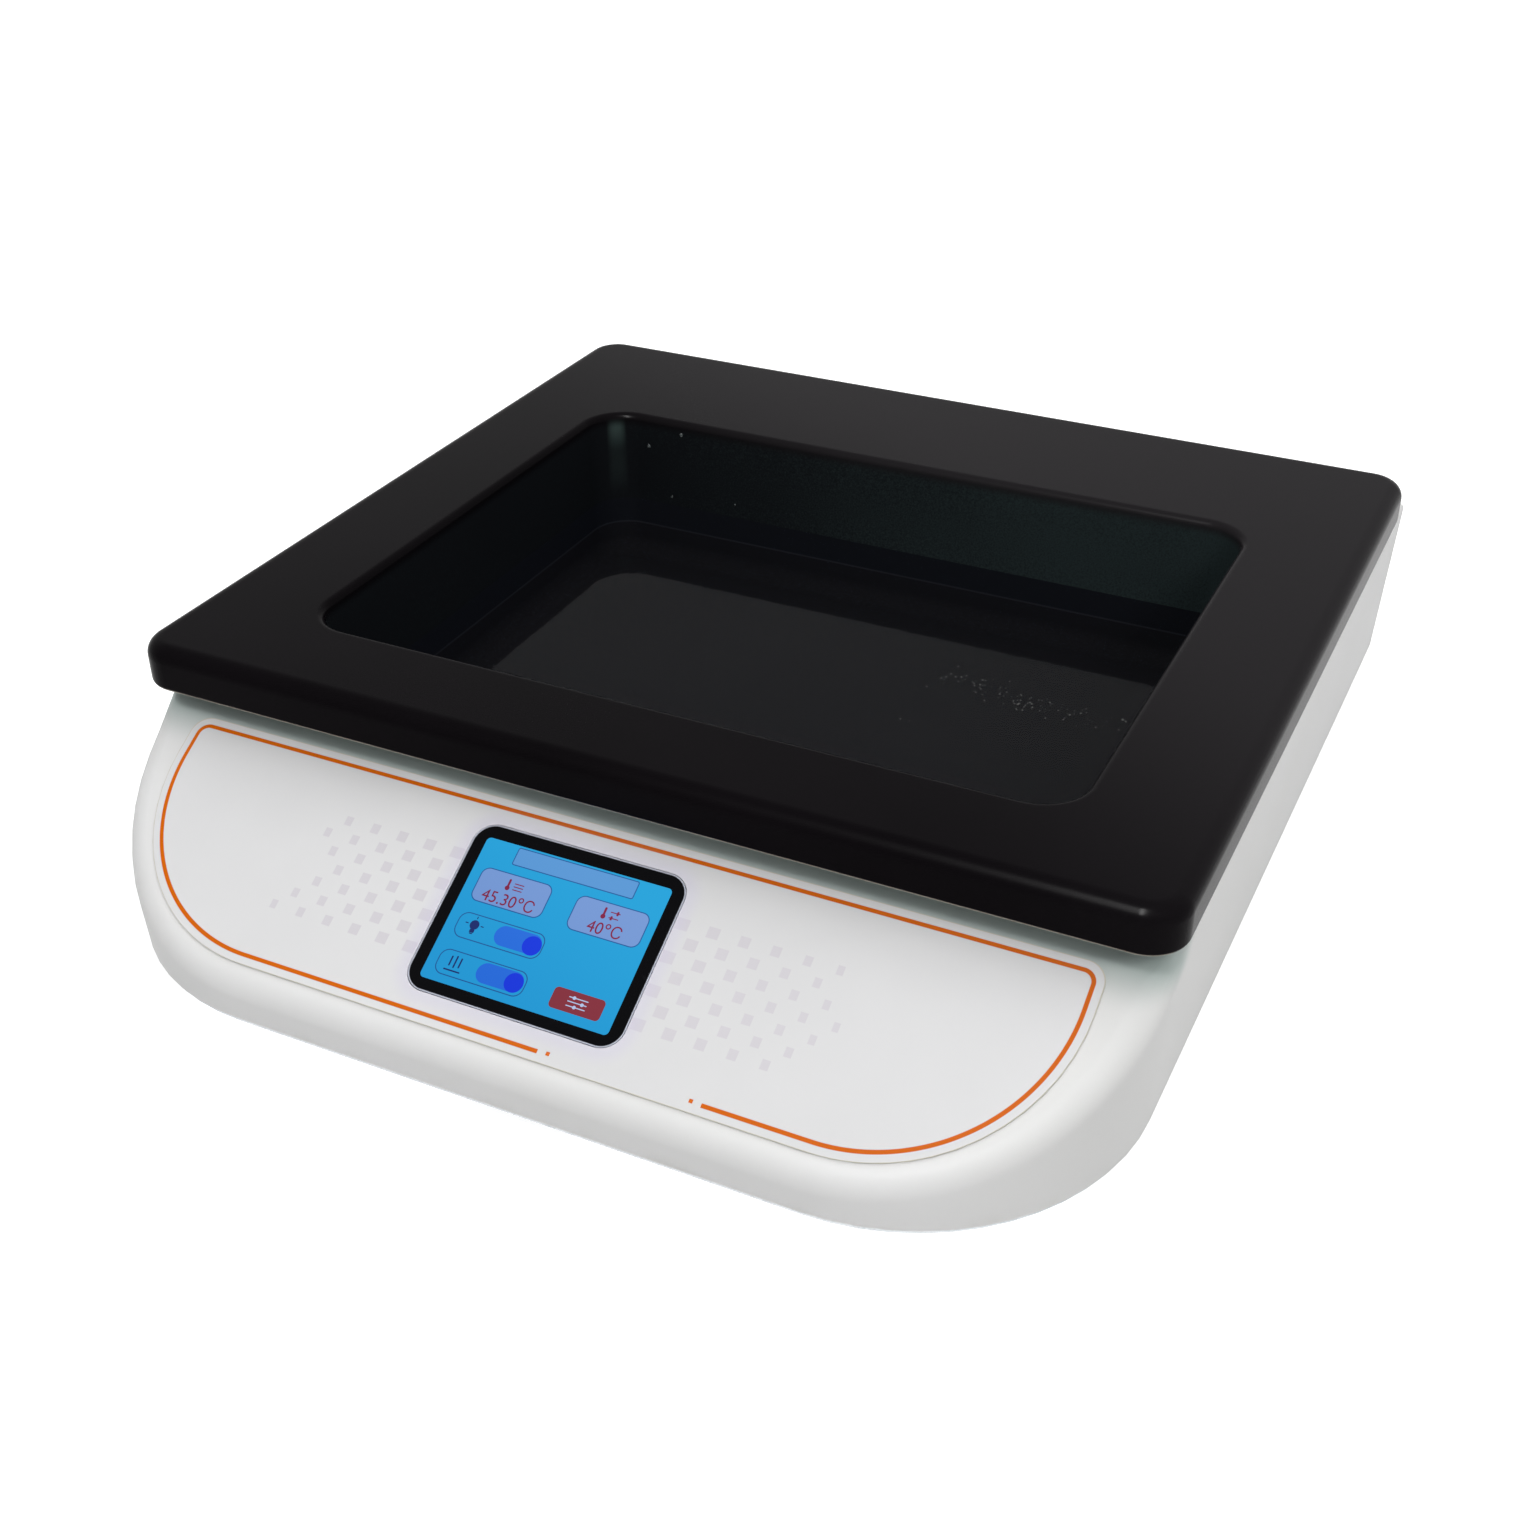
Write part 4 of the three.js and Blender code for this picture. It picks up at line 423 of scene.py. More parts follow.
def filmFinish():
    look = {
        "sheet": (228, 228, 229), "shade": (224, 224, 225), "dots": (216, 213, 218),
        "line": (214, 100, 2), "lineEdge": (0.6, 0.85), "gapX": (9.9, 67.6), "gapBelow": -60,
        "endDots": (13.6, 64.0), "endDotUp": -70.1, "endDotHalf": 0.65,
        "glow": (214, 208, 234), "paintedGlowReach": (0.4, 7.5),
        "edge": (206, 200, 180), "edgeReach": (3.0, 3.3),
        "cloud": 11, "haze": 40, "orangePeel": 700,
    }
    film = Finish("consoleFilm")
    x, s = consoleAxes(film)[:2]
    colour = film.patches(film.noise(look["cloud"]), look["sheet"], look["shade"])
    colour = film.blend(printedSquares(film, x, s), colour, look["dots"])
    # the border line is open in front of the middle, with a small dot at each end of the gap
    border = fromBorder(film, x, s)
    gapStart, gapEnd = look["gapX"]
    gap = (x > gapStart) * (x < gapEnd) * (s < look["gapBelow"])
    ink = film.fall(abs(border), *look["lineEdge"]) * (1 - gap)
    for across in look["endDots"]:
        fromDot = film.larger(abs(x - across), abs(s - look["endDotUp"]))
        ink = film.larger(ink, fromDot < look["endDotHalf"])
    colour = film.blend(ink, colour, look["line"])
    # painted light: the display's lilac glow painted on the film round the glass
    glow = film.fall(fromTouchGlass(film, x, s), *look["paintedGlowReach"])
    colour = film.blend(glow * 0.35, colour, look["glow"])
    colour = film.blend(film.rise(border, *look["edgeReach"]) * 0.8, colour, look["edge"])
    roughness = 0.30 + film.noise(look["haze"]) * 0.06 + ink * 0.05
    height = film.noise(look["orangePeel"], 2) - ink * 0.3
    return film.surface(colour, roughness, normal=film.bump(height, 0.01, 0.35), specular=0.03)


def glassFinish():
    look = {
        "black": (9, 9, 12), "dust": (26, 26, 30),
        "edge": (196, 200, 214), "edgeReach": (-0.55, -0.2), "speck": 260, "wave": 60,
    }
    glass = Finish("touchGlass")
    x, s = consoleAxes(glass)[:2]
    dust = glass.noise(look["speck"], 4)
    colour = glass.blend(glass.rise(dust, 0.62, 0.8) * 0.5, look["black"], look["dust"])
    ground = glass.rise(fromTouchGlass(glass, x, s), *look["edgeReach"])
    colour = glass.blend(ground, colour, look["edge"])
    roughness = 0.07 + dust * 0.05 + ground * 0.3
    normal = glass.bump(glass.noise(look["wave"], 2), 0.01, 0.15)
    return glass.surface(colour, roughness, normal=normal, specular=0.03)


def metalFinish(name, light, dark, roughness, brushed, spangle=0.0):
    look = {"grain": 900, "stain": 45, "flake": 110}
    metal = Finish(name)
    grain = metal.noise(look["grain"], 3, metal.place(stretch=brushed))
    stain = metal.noise(look["stain"], 4)
    colour = metal.patches(grain * 0.6 + stain * 0.4, light, dark, 0.35, 0.68)
    if spangle:
        tone = metal.axes(metal.cells(look["flake"], output=1))[0]
        colour = metal.blend(metal.rise(tone, 0.2, 0.9) * spangle, colour, light)
        rough = roughness + tone * 0.16 + grain * 0.06
    else:
        rough = roughness + grain * 0.14 + stain * 0.06
    return metal.surface(colour, rough, 1.0, metal.bump(grain, 0.01, 0.3))


# moulded plastic: fine sparks and soft patches of two near colours
def mouldedColour(finish, cloud, spark, base, worn):
    return finish.patches(cloud * 0.6 + spark * 0.4, base, worn, 0.38, 0.68)


def plasticFinish(name, base, worn, roughness, scale=1500, depth=0.03, specular=0.45):
    plastic = Finish(name)
    spark = plastic.noise(scale, 2)
    cloud = plastic.noise(28, 4)
    colour = mouldedColour(plastic, cloud, spark, base, worn)
    rough = roughness + spark * 0.10 + cloud * 0.08
    normal = plastic.bump(spark, depth, 0.4)
    return plastic.surface(colour, rough, normal=normal, specular=specular)


def heaterFinish():
    look = {
        "silicone": (176, 74, 40), "shade": (150, 60, 34), "weave": 4200,
        "track": (196, 104, 66), "trackPitch": 6, "trackEdge": (4.4, 5.0), "cloud": 30,
    }
    mat = Finish("heaterSilicone")
    x, y = mat.axes(mat.place())[:2]
    weave = mat.math("SINE", x * look["weave"]) * mat.math("SINE", y * look["weave"])
    track = mat.rise(mat.math("PINGPONG", y / mm, look["trackPitch"]), *look["trackEdge"])
    cloud = mat.noise(look["cloud"])
    colour = mat.patches(cloud, look["silicone"], look["shade"])
    colour = mat.blend(track * 0.5, colour, look["track"])
    return mat.surface(colour, 0.62 + cloud * 0.12, normal=mat.bump(weave * 0.3 + track, 0.12, 0.5))


def woolFinish():
    look = {
        "fibre": (220, 206, 162), "deep": (178, 158, 108), "dust": (236, 228, 200),
        "strand": 240, "strandStretch": (6, 1, 1), "clump": 40,
    }
    wool = Finish("insulationWool")
    strands = wool.noise(look["strand"], 5, wool.place(stretch=look["strandStretch"]), 0.7)
    clumps = wool.noise(look["clump"], 4)
    colour = wool.patches(clumps, look["fibre"], look["deep"], 0.3, 0.7)
    colour = wool.blend(wool.rise(strands, 0.55, 0.8) * 0.6, colour, look["dust"])
    normal = wool.bump(strands + clumps * 0.8, 1.2, 0.7)
    return wool.surface(colour, 0.92 + strands * 0.06, normal=normal, specular=0.2)


def boardFinish():
    look = {
        "mask": (22, 92, 48), "copper": (46, 128, 74), "pads": (196, 198, 190),
        "parts": (24, 24, 26), "body": (214, 214, 206), "partsZ": (0.0197, 0.02),
        "pitchX": 1.6, "edgeX": (1.1, 1.3), "pitchY": 2.1, "edgeY": (1.6, 1.8), "pad": 260, "padHalf": 0.12,
    }
    board = Finish("circuitBoard")
    x, y, z = board.axes(board.place())
    across = board.math("PINGPONG", x / mm + board.noise(40, 1) * 6, look["pitchX"])
    along = board.math("PINGPONG", y / mm + board.noise(55, 1) * 5, look["pitchY"])
    traces = board.larger(board.rise(across, *look["edgeX"]), board.rise(along, *look["edgeY"]))
    colour = board.blend(traces * 0.8, look["mask"], look["copper"])
    pads = (board.cells(look["pad"]) < look["padHalf"]) * (board.noise(50, 2) > 0.5)
    colour = board.blend(pads, colour, look["pads"])
    parts = board.patches(board.noise(34, 0), look["parts"], look["body"], 0.52, 0.56)
    colour = board.blend(board.rise(z, *look["partsZ"]), colour, parts)
    roughness = 0.35 + traces * 0.08 + board.noise(300, 2) * 0.1
    return board.surface(colour, roughness, normal=board.bump(traces, 0.05, 0.4))


def leadFinish(name, base, worn):
    look = {"cloud": 120, "grain": 2600}
    lead = Finish(name)
    cloud = lead.noise(look["cloud"])
    normal = lead.bump(lead.noise(look["grain"], 1), 0.02, 0.4)
    return lead.surface(lead.patches(cloud, base, worn), 0.42 + cloud * 0.12, normal=normal)


def fuseFinish():
    look = {
        "tube": (205, 214, 214), "wire": (120, 118, 112),
        "cap": (196, 192, 182), "middleX": 0.122, "capReach": (0.0049, 0.0051), "haze": 500,
    }
    fuse = Finish("fuseGlass")
    x = fuse.axes(fuse.place())[0]
    ends = fuse.rise(abs(x - look["middleX"]), *look["capReach"])
    haze = fuse.noise(look["haze"])
    colour = fuse.blend(fuse.rise(haze, 0.4, 0.8) * 0.5, look["tube"], look["wire"])
    colour = fuse.blend(ends, colour, look["cap"])
    return fuse.surface(colour, 0.12 + ends * 0.16 + haze * 0.08, ends, fuse.bump(haze, 0.01, 0.2))


# the display's board, its steel frame and the dark panel in front
def screenFrameFinish():
    look = {
        "board": (30, 84, 50), "steel": (150, 152, 156), "panel": (16, 18, 24),
        "steelFrom": (-7.5, -7.3), "panelFrom": (-3.4, -3.2), "grain": 700,
    }
    module = Finish("displayFrame")
    n = consoleAxes(module)[2]
    steel = module.rise(n, *look["steelFrom"])
    panel = module.rise(n, *look["panelFrom"])
    colour = module.blend(steel, look["board"], look["steel"])
    colour = module.blend(panel, colour, look["panel"])
    grain = module.noise(look["grain"])
    normal = module.bump(grain, 0.01, 0.3)
    return module.surface(colour, 0.32 + grain * 0.12, steel * (1 - panel), normal)


# black inlet moulding with its nickel blades and solder tabs
def inletFinish():
    look = {
        "moulding": (24, 24, 26), "worn": (36, 36, 38),
        "nickel": (196, 194, 186), "tarnish": (166, 162, 150),
        "blades": [(115, 48.75), (122, 52.75), (129, 48.75)], "bladeHalf": (1.2, 2.2),
        "tipY": 208.7, "footY": 197.65, "tabY": 182.9, "spark": 1400, "cloud": 60,
    }
    inlet = Finish("inletMoulding")
    x, y, z = inlet.axes(inlet.place(stretch=(mm, mm, mm)))
    halfX, halfZ = look["bladeHalf"]
    blades = 0
    for across, height in look["blades"]:
        blades = inlet.larger(blades, (abs(x - across) < halfX) * (abs(z - height) < halfZ))
    metal = inlet.larger(blades * (y > look["footY"]) * (y < look["tipY"]), y < look["tabY"])
    spark = inlet.noise(look["spark"], 2)
    cloud = inlet.noise(look["cloud"])
    moulding = mouldedColour(inlet, cloud, spark, look["moulding"], look["worn"])
    nickel = inlet.patches(cloud, look["nickel"], look["tarnish"], 0.4, 0.7)
    roughness = 0.36 + spark * 0.12 - metal * 0.12
    normal = inlet.bump(spark * (1 - metal), 0.03, 0.4)
    return inlet.surface(inlet.blend(metal, moulding, nickel), roughness, metal, normal)


# rocker with a line on its lower half and a ring on its upper half
def rockerFinish():
    look = {
        "moulding": (20, 20, 22), "worn": (32, 32, 34), "paint": (226, 226, 222), "middle": 76,
        "lineZ": 38.6, "lineHalf": (0.34, 2.1), "ringZ": 51.2, "ringRadius": 1.75, "ringHalf": 0.32,
        "faceY": 212.4, "spark": 1600, "cloud": 70, "chip": 900,
    }
    rocker = Finish("rockerMoulding")
    x, y, z = rocker.axes(rocker.place(stretch=(mm, mm, mm)))
    across = abs(x - look["middle"])
    halfX, halfZ = look["lineHalf"]
    line = rocker.larger(across / halfX, abs(z - look["lineZ"]) / halfZ) < 1
    high = z - look["ringZ"]
    radius = rocker.math("SQRT", across * across + high * high)
    ring = abs(radius - look["ringRadius"]) < look["ringHalf"]
    spark = rocker.noise(look["spark"], 2)
    cloud = rocker.noise(look["cloud"])
    chipped = rocker.rise(rocker.noise(look["chip"]), 0.32, 0.42)
    marks = rocker.larger(line, ring) * (y > look["faceY"]) * chipped
    moulding = mouldedColour(rocker, cloud, spark, look["moulding"], look["worn"])
    colour = rocker.blend(marks, moulding, look["paint"])
    normal = rocker.bump(spark * 0.5 + marks, 0.03, 0.4)
    return rocker.surface(colour, 0.30 + spark * 0.10 + marks * 0.15, normal=normal)


finishes = {
    "coating": coatingFinish(),
    "shell": shellFinish(),
    "film": filmFinish(),
    "screen": glassFinish(),
    "display_frame": screenFrameFinish(),
    "gasket": plasticFinish("gasketFoam", (86, 74, 64), (70, 60, 52), 0.8, 700, 0.2, 0.2),
    "zinc": metalFinish("zincPlate", (206, 209, 212), (176, 180, 184), 0.28, (1, 1, 1), 0.7),
    "steel": metalFinish("screwSteel", (214, 215, 214), (178, 178, 176), 0.20, (1, 8, 1)),
    "rubber": plasticFinish("footRubber", (28, 28, 29), (44, 43, 42), 0.72, 900, 0.08, 0.25),
    "heater": heaterFinish(),
    "wool": woolFinish(),
    "circuit_board": boardFinish(),
    "black_plastic": plasticFinish("blackPlastic", (22, 22, 24), (34, 34, 36), 0.38),
    "fuse_glass": fuseFinish(),
    "grey_lead": leadFinish("greyLead", (136, 139, 142), (118, 121, 124)),
    "red_lead": leadFinish("redLead", (172, 38, 34), (148, 32, 30)),
    "blue_lead": leadFinish("blueLead", (40, 76, 158), (34, 64, 138)),
}
slotOf = {part["node"]: part["material_slot"] for part in frame["record"]["subparts"]}
for name, solid in nodes.items():
    solid.data.materials.clear()
    solid.data.materials.append(finishes[slotOf[name]])
print("finishes are on the solids")


# Mesh tools, with their sizes in millimetres

# one flat face with round corners
def roundedFace(shape, width, depth, corner, steps, across, along, height):
    known = set(shape.faces)
    made = bmesh.ops.create_grid(shape, x_segments=1, y_segments=1, size=0.5)["verts"]
    bmesh.ops.scale(shape, vec=(width * mm, depth * mm, 1), verts=made)
    bmesh.ops.translate(shape, vec=(across * mm, along * mm, height * mm), verts=made)
    bmesh.ops.bevel(
        shape, geom=made, offset=corner * mm, affect="VERTICES", segments=steps, profile=0.5, material=-1,
    )
    return next(face for face in shape.faces if face not in known)


# a closed body of rounded rings, each with its width, depth, corner, middle and height
def ringStack(rings, steps):
    shape = bmesh.new()
    width, depth, corner, middle, height = rings[0]
    edges = list(roundedFace(shape, width, depth, corner, steps, 0, middle, height).edges)
    for old, (width, depth, corner, middle, height) in zip(rings, rings[1:]):
        oldWidth, oldDepth, oldCorner, oldMiddle = old[:4]
        grown = bmesh.ops.extrude_edge_only(shape, edges=edges)["geom"]
        verts = {item for item in grown if isinstance(item, bmesh.types.BMVert)}
        edges = [item for item in grown if isinstance(item, bmesh.types.BMEdge) and set(item.verts) <= verts]
        for vert in verts:
            sideX = math.copysign(mm, vert.co.x)
            sideY = math.copysign(mm, vert.co.y - oldMiddle * mm)
            fromX = vert.co.x - sideX * (oldWidth / 2 - oldCorner)
            fromY = vert.co.y - oldMiddle * mm - sideY * (oldDepth / 2 - oldCorner)
            vert.co.x = sideX * (width / 2 - corner) + fromX * corner / oldCorner
            vert.co.y = middle * mm + sideY * (depth / 2 - corner) + fromY * corner / oldCorner
            vert.co.z = height * mm
    bmesh.ops.edgeloop_fill(shape, edges=edges)
    return shape


# an outline of radius and height, turned once round an upright axis
def turned(shape, outline, steps, place, closed=False):
    verts = [shape.verts.new((radius * mm, 0, height * mm)) for radius, height in outline]
    edges = [shape.edges.new(pair) for pair in zip(verts, verts[1:])]
    if closed:
        edges.append(shape.edges.new((verts[-1], verts[0])))
    known = set(shape.verts) - set(verts)
    bmesh.ops.spin(
        shape, geom=verts + edges, axis=(0, 0, 1), angle=math.tau, steps=steps, use_merge=True,
    )
    made = [vert for vert in shape.verts if vert not in known]
    bmesh.ops.remove_doubles(shape, verts=made, dist=0.001 * mm)
    made = [vert for vert in shape.verts if vert not in known]
    bmesh.ops.translate(shape, vec=Vector(place) * mm, verts=made)


# faces lifted into closed plates, or sunk when the lift is negative
def raised(shape, faces, lift, keep=False):
    grown = bmesh.ops.extrude_face_region(shape, geom=faces, use_keep_orig=keep)["geom"]
    moved = [item for item in grown if isinstance(item, bmesh.types.BMVert)]
    bmesh.ops.translate(shape, vec=(0, 0, lift * mm), verts=moved)


# flattened balls of their own sizes, each at its place
def flatBalls(balls, flatness, around, along):
    shape = bmesh.new()
    for *place, radius in balls:
        ball = bmesh.ops.create_uvsphere(shape, u_segments=around, v_segments=along, radius=radius * mm)
        bmesh.ops.scale(shape, vec=flatness, verts=ball["verts"])
        bmesh.ops.translate(shape, vec=[part * mm for part in place], verts=ball["verts"])
    return shape


# a piece from a mesh, in the finish of its slot when none is given
def finishMesh(name, shape, slot, finish=None, body="body", sharpAngle=32):
    bmesh.ops.remove_doubles(shape, verts=shape.verts, dist=0.002 * mm)
    bmesh.ops.recalc_face_normals(shape, faces=shape.faces)
    for face in shape.faces:
        face.smooth = True
    for edge in shape.edges:
        if len(edge.link_faces) == 2 and edge.calc_face_angle() > math.radians(sharpAngle):
            edge.smooth = False
    piece = meshed(name, shape)
    piece.data.materials.append(finish or finishes[slot])
    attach(piece, body)
    return piece


def evenNormals(piece):
    modifier = piece.modifiers.new("evenNormals", "WEIGHTED_NORMAL")
    modifier.keep_sharp = True
    modifier.weight = 80


# a merged copy of a solid, with its edges broken by a small bevel
def softened(nodeName, name, edge, body="body", sharpAngle=32):
    soften = {"merge": 0.003, "flat": math.radians(0.4), "segments": 2, "corner": math.radians(38)}
    shape = bmesh.new()
    shape.from_mesh(nodes[nodeName].data)
    bmesh.ops.remove_doubles(shape, verts=shape.verts, dist=soften["merge"] * mm)
    bmesh.ops.dissolve_limit(shape, angle_limit=soften["flat"], verts=shape.verts, edges=shape.edges)
    piece = finishMesh(name, shape, slotOf[nodeName], body=body, sharpAngle=sharpAngle)
    if edge:
        bevel = piece.modifiers.new("brokenEdges", "BEVEL")
        bevel.width = edge * mm
        bevel.segments = soften["segments"]
        bevel.limit_method = "ANGLE"
        bevel.angle_limit = soften["corner"]
    evenNormals(piece)
    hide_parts(nodeName)
    return piece


# Basin: the skirted rim and the bowl as one casting

# a ring round the bowl at some distance outside its mouth
def bowlRing(outset, height):
    width, depth, corner = [bowl[key] for key in ("width", "depth", "corner")]
    return (width + 2 * outset, depth + 2 * outset, corner + outset, bowl["middle"], height)


def rimRing(inset, height):
    middle = (rim["front"] + rim["back"]) / 2
    return (rim["width"] - 2 * inset, rim["depth"] - 2 * inset, rim["corner"] - inset, middle, height)


# a quarter circle from its foot to its top, as distances to the two lines that it joins
def quarterCircle(radius, steps):
    turns = [math.pi / 2 * step / steps for step in range(steps + 1)]
    return [(radius * (1 - math.sin(turn)), radius * (1 - math.cos(turn))) for turn in turns]


def basinCasting():
    cast = {
        "rimUnder": 81, "topEdge": 6, "bottomEdge": 2, "skirt": 4, "plateUnder": 94,
        "mouthEdge": 3, "wall": 3.5, "under": 28, "ribInner": 8.5, "ribOuter": 12.5,
        "topBand": 0.8, "sideBand": 0.3, "wallShares": (0.03, 0.5, 0.97), "steps": 10,
    }
    steps, top, under, plateUnder = cast["steps"], rim["top"], cast["rimUnder"], cast["plateUnder"]
    low, high = bowl["floor"] + bowl["floorEdge"], top - cast["mouthEdge"]
    # from the floor inside, up the bowl, over the rim and down the skirt
    edge = quarterCircle(bowl["floorEdge"], steps)
    rings = [bowlRing(-inward - bowl["draft"], bowl["floor"] + risen) for inward, risen in edge]
    for share in cast["wallShares"]:
        rings.append(bowlRing(-bowl["draft"] * (1 - share), low + (high - low) * share))
    edge = quarterCircle(cast["mouthEdge"], steps)
    rings += [bowlRing(outward, top - sunk) for sunk, outward in edge]
    rings.append(bowlRing(cast["mouthEdge"] + cast["topBand"], top))
    rings.append(rimRing(cast["topEdge"] + cast["topBand"], top))
    edge = quarterCircle(cast["topEdge"], steps)
    rings += [rimRing(inward, top - sunk) for inward, sunk in edge]
    rings.append(rimRing(0, under + cast["bottomEdge"] + cast["sideBand"]))
    edge = quarterCircle(cast["bottomEdge"], steps)
    rings += [rimRing(inward, under + risen) for risen, inward in edge]
    # the hollow under the rim with its seat rib, then the bowl's outside
    rings += [rimRing(cast["skirt"], under), rimRing(cast["skirt"], plateUnder)]
    rings += [bowlRing(cast["ribOuter"], plateUnder), bowlRing(cast["ribOuter"], under)]
    rings += [bowlRing(cast["ribInner"], under), bowlRing(cast["ribInner"], plateUnder)]
    rings.append(bowlRing(cast["wall"], plateUnder))
    edge = reversed(quarterCircle(bowl["floorEdge"] + cast["wall"], steps))
    rings += [bowlRing(cast["wall"] - inward, cast["under"] + risen) for inward, risen in edge]
    shape = ringStack(rings, bowl["steps"])
    piece = finishMesh("basin_casting", shape, "coating")
    evenNormals(piece)
    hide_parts("basin")


# bosses under the rim and the bowl, each a short tube with its thread hole
def basinBosses():
    bosses = {
        "rimAcross": 168, "rimFromFront": 46, "rimFromBack": 30, "rimHeights": (79.2, 94.1),
        "floorAcross": 122, "floorAlong": 70, "floorHeights": (26.2, 28.1),
        "outer": 5, "bore": 2.3, "edge": 0.5, "steps": 28,
    }
    outer, bore, edge = bosses["outer"], bosses["bore"], bosses["edge"]
    rimAlongs = (rim["front"] + bosses["rimFromFront"], rim["back"] - bosses["rimFromBack"])
    floorAlongs = [bowl["middle"] + end * bosses["floorAlong"] for end in (-1, 1)]
    places = []
    for key, alongs in (("rim", rimAlongs), ("floor", floorAlongs)):
        places += [(side * bosses[key + "Across"], along, key) for side in (-1, 1) for along in alongs]
    shape = bmesh.new()
    for across, along, key in places:
        low, high = bosses[key + "Heights"]
        inside = [(bore, high), (bore, low + edge), (bore + edge, low)]
        outside = [(outer - edge, low), (outer, low + edge), (outer, high)]
        turned(shape, inside + outside, bosses["steps"], (across, along, 0), closed=True)
    evenNormals(finishMesh("basin_bosses", shape, "coating"))


basinCasting()
print("basin is cast")
basinBosses()
print("bosses are on the basin")
softened("housing_shell", "housing_moulding", 0, sharpAngle=34)
print("housing is smoothed")


# Screws with a cross recess, for the ones that show on the back wall and underneath

def screwOutline(shank, head, thick, length):
    screw = {
        "tip": 0.4, "tipIn": 0.5, "taper": 1.0, "neckIn": 0.15, "start": 1.2, "pitch": 0.7, "runOut": 1.6,
        "rootIn": 0.3, "crestIn": 0.02, "edge": 0.3, "crown": 0.02, "crownEdge": 0.03,
        "dome": [(1, 0.55), (0.86, 0.84)], "flat": 0.55,
    }
    neck, pitch, edge, top = shank - screw["neckIn"], screw["pitch"], screw["edge"], length + thick
    outline = [(0, screw["tip"]), (shank - screw["tipIn"], screw["tip"]), (neck, screw["taper"])]
    for turn in range(int((length - screw["runOut"]) / pitch)):
        root = screw["start"] + turn * pitch
        outline += [(shank - screw["rootIn"], root), (shank - screw["crestIn"], root + pitch / 2)]
    outline += [(neck, length), (head - edge, length), (head, length + edge)]
    outline += [(head * wide, length + thick * high) for wide, high in screw["dome"]]
    return outline + [(head * screw["flat"], top - screw["crownEdge"]), (0, top - screw["crown"])]


def crossScrew(nodeName, pan):
    low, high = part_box(nodeName)
    middle = (low + high) / 2
    head, thick = pan["head"], pan["thick"]
    length = max((high - low) / mm) - thick
    shape = bmesh.new()
    turned(shape, screwOutline(pan["shank"], head, thick, length), pan["steps"], (0, 0, 0))
    # four cuts each way mark out the cross, then its faces sink
    arm, half = head * pan["armShare"], pan["slot"] / 2
    top = (length + thick * pan["crossShare"]) * mm
    for reach in (-arm, -half, half, arm):
        for normal in ((1, 0, 0), (0, 1, 0)):
            crown = [face for face in shape.faces if min(vert.co.z for vert in face.verts) > top]
            cut = {part for face in crown for part in (face, *face.edges, *face.verts)}
            spot = [reach * mm * part for part in normal]
            bmesh.ops.bisect_plane(shape, geom=list(cut), dist=0.001 * mm, plane_co=spot, plane_no=normal)

    def inCross(face):
        spot = face.calc_center_median() / mm
        wide, deep = abs(spot.x), abs(spot.y)
        return spot.z * mm > top and max(wide, deep) < arm and min(wide, deep) < half

    raised(shape, [face for face in shape.faces if inCross(face)], -pan["deep"])
    for angle, axis in ((pan["turn"], "Z"), (pan["lay"], "X")):
        bmesh.ops.rotate(shape, matrix=Matrix.Rotation(math.radians(angle), 3, axis), verts=shape.verts)
    start = (middle.x, middle.y, high.z) if pan["lay"] == 180 else (middle.x, low.y, middle.z)
    bmesh.ops.translate(shape, vec=start, verts=shape.verts)
    piece = finishMesh(nodeName + "_cross", shape, "steel", sharpAngle=28)
    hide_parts(nodeName)


def shownScrews():
    both = {"steps": 24, "armShare": 0.62, "crossShare": 0.80}
    large = {**both, "shank": 2, "head": 3.8, "thick": 2.4, "slot": 0.9, "deep": 1.1, "lay": 180}
    small = {**both, "shank": 1.4, "head": 2.6, "thick": 1.8, "slot": 0.7, "deep": 0.9, "lay": -90}
    for turn, corner in enumerate(corners):
        crossScrew("base_screw_" + corner, {**large, "turn": 20 + 31 * turn})
        crossScrew("foot_screw_" + corner, {**large, "turn": 5 + 47 * turn})
    for turn, side in enumerate(("left", "right")):
        crossScrew("inlet_screw_" + side, {**small, "turn": 12 + 40 * turn})


corners = ("front_left", "back_left", "front_right", "back_right")
shownScrews()
print("screws have their recesses")


# Back wall parts and feet, with their edges broken

def backParts():
    parts = [  # node, name, width of the bevel and body
        ("power_inlet", "inlet_moulding", 0.3, "body"), ("switch_frame", "switch_moulding", 0.3, "body"),
        ("fuse_drawer", "drawer_moulding", 0.2, "drawer"), ("power_rocker", "rocker_moulding", 0.3, "rocker"),
    ]
    parts += [("foot_" + corner, "foot_rubber_" + corner, 0.5, "body") for corner in corners]
    pieces = {node: softened(node, name, edge, body) for node, name, edge, body in parts}
    pieces["power_inlet"].data.materials[0] = inletFinish()
    pieces["power_rocker"].data.materials[0] = rockerFinish()


backParts()
print("back wall parts and feet are softened")


# Water in the bowl, drops on the wall behind it and scale on the floor

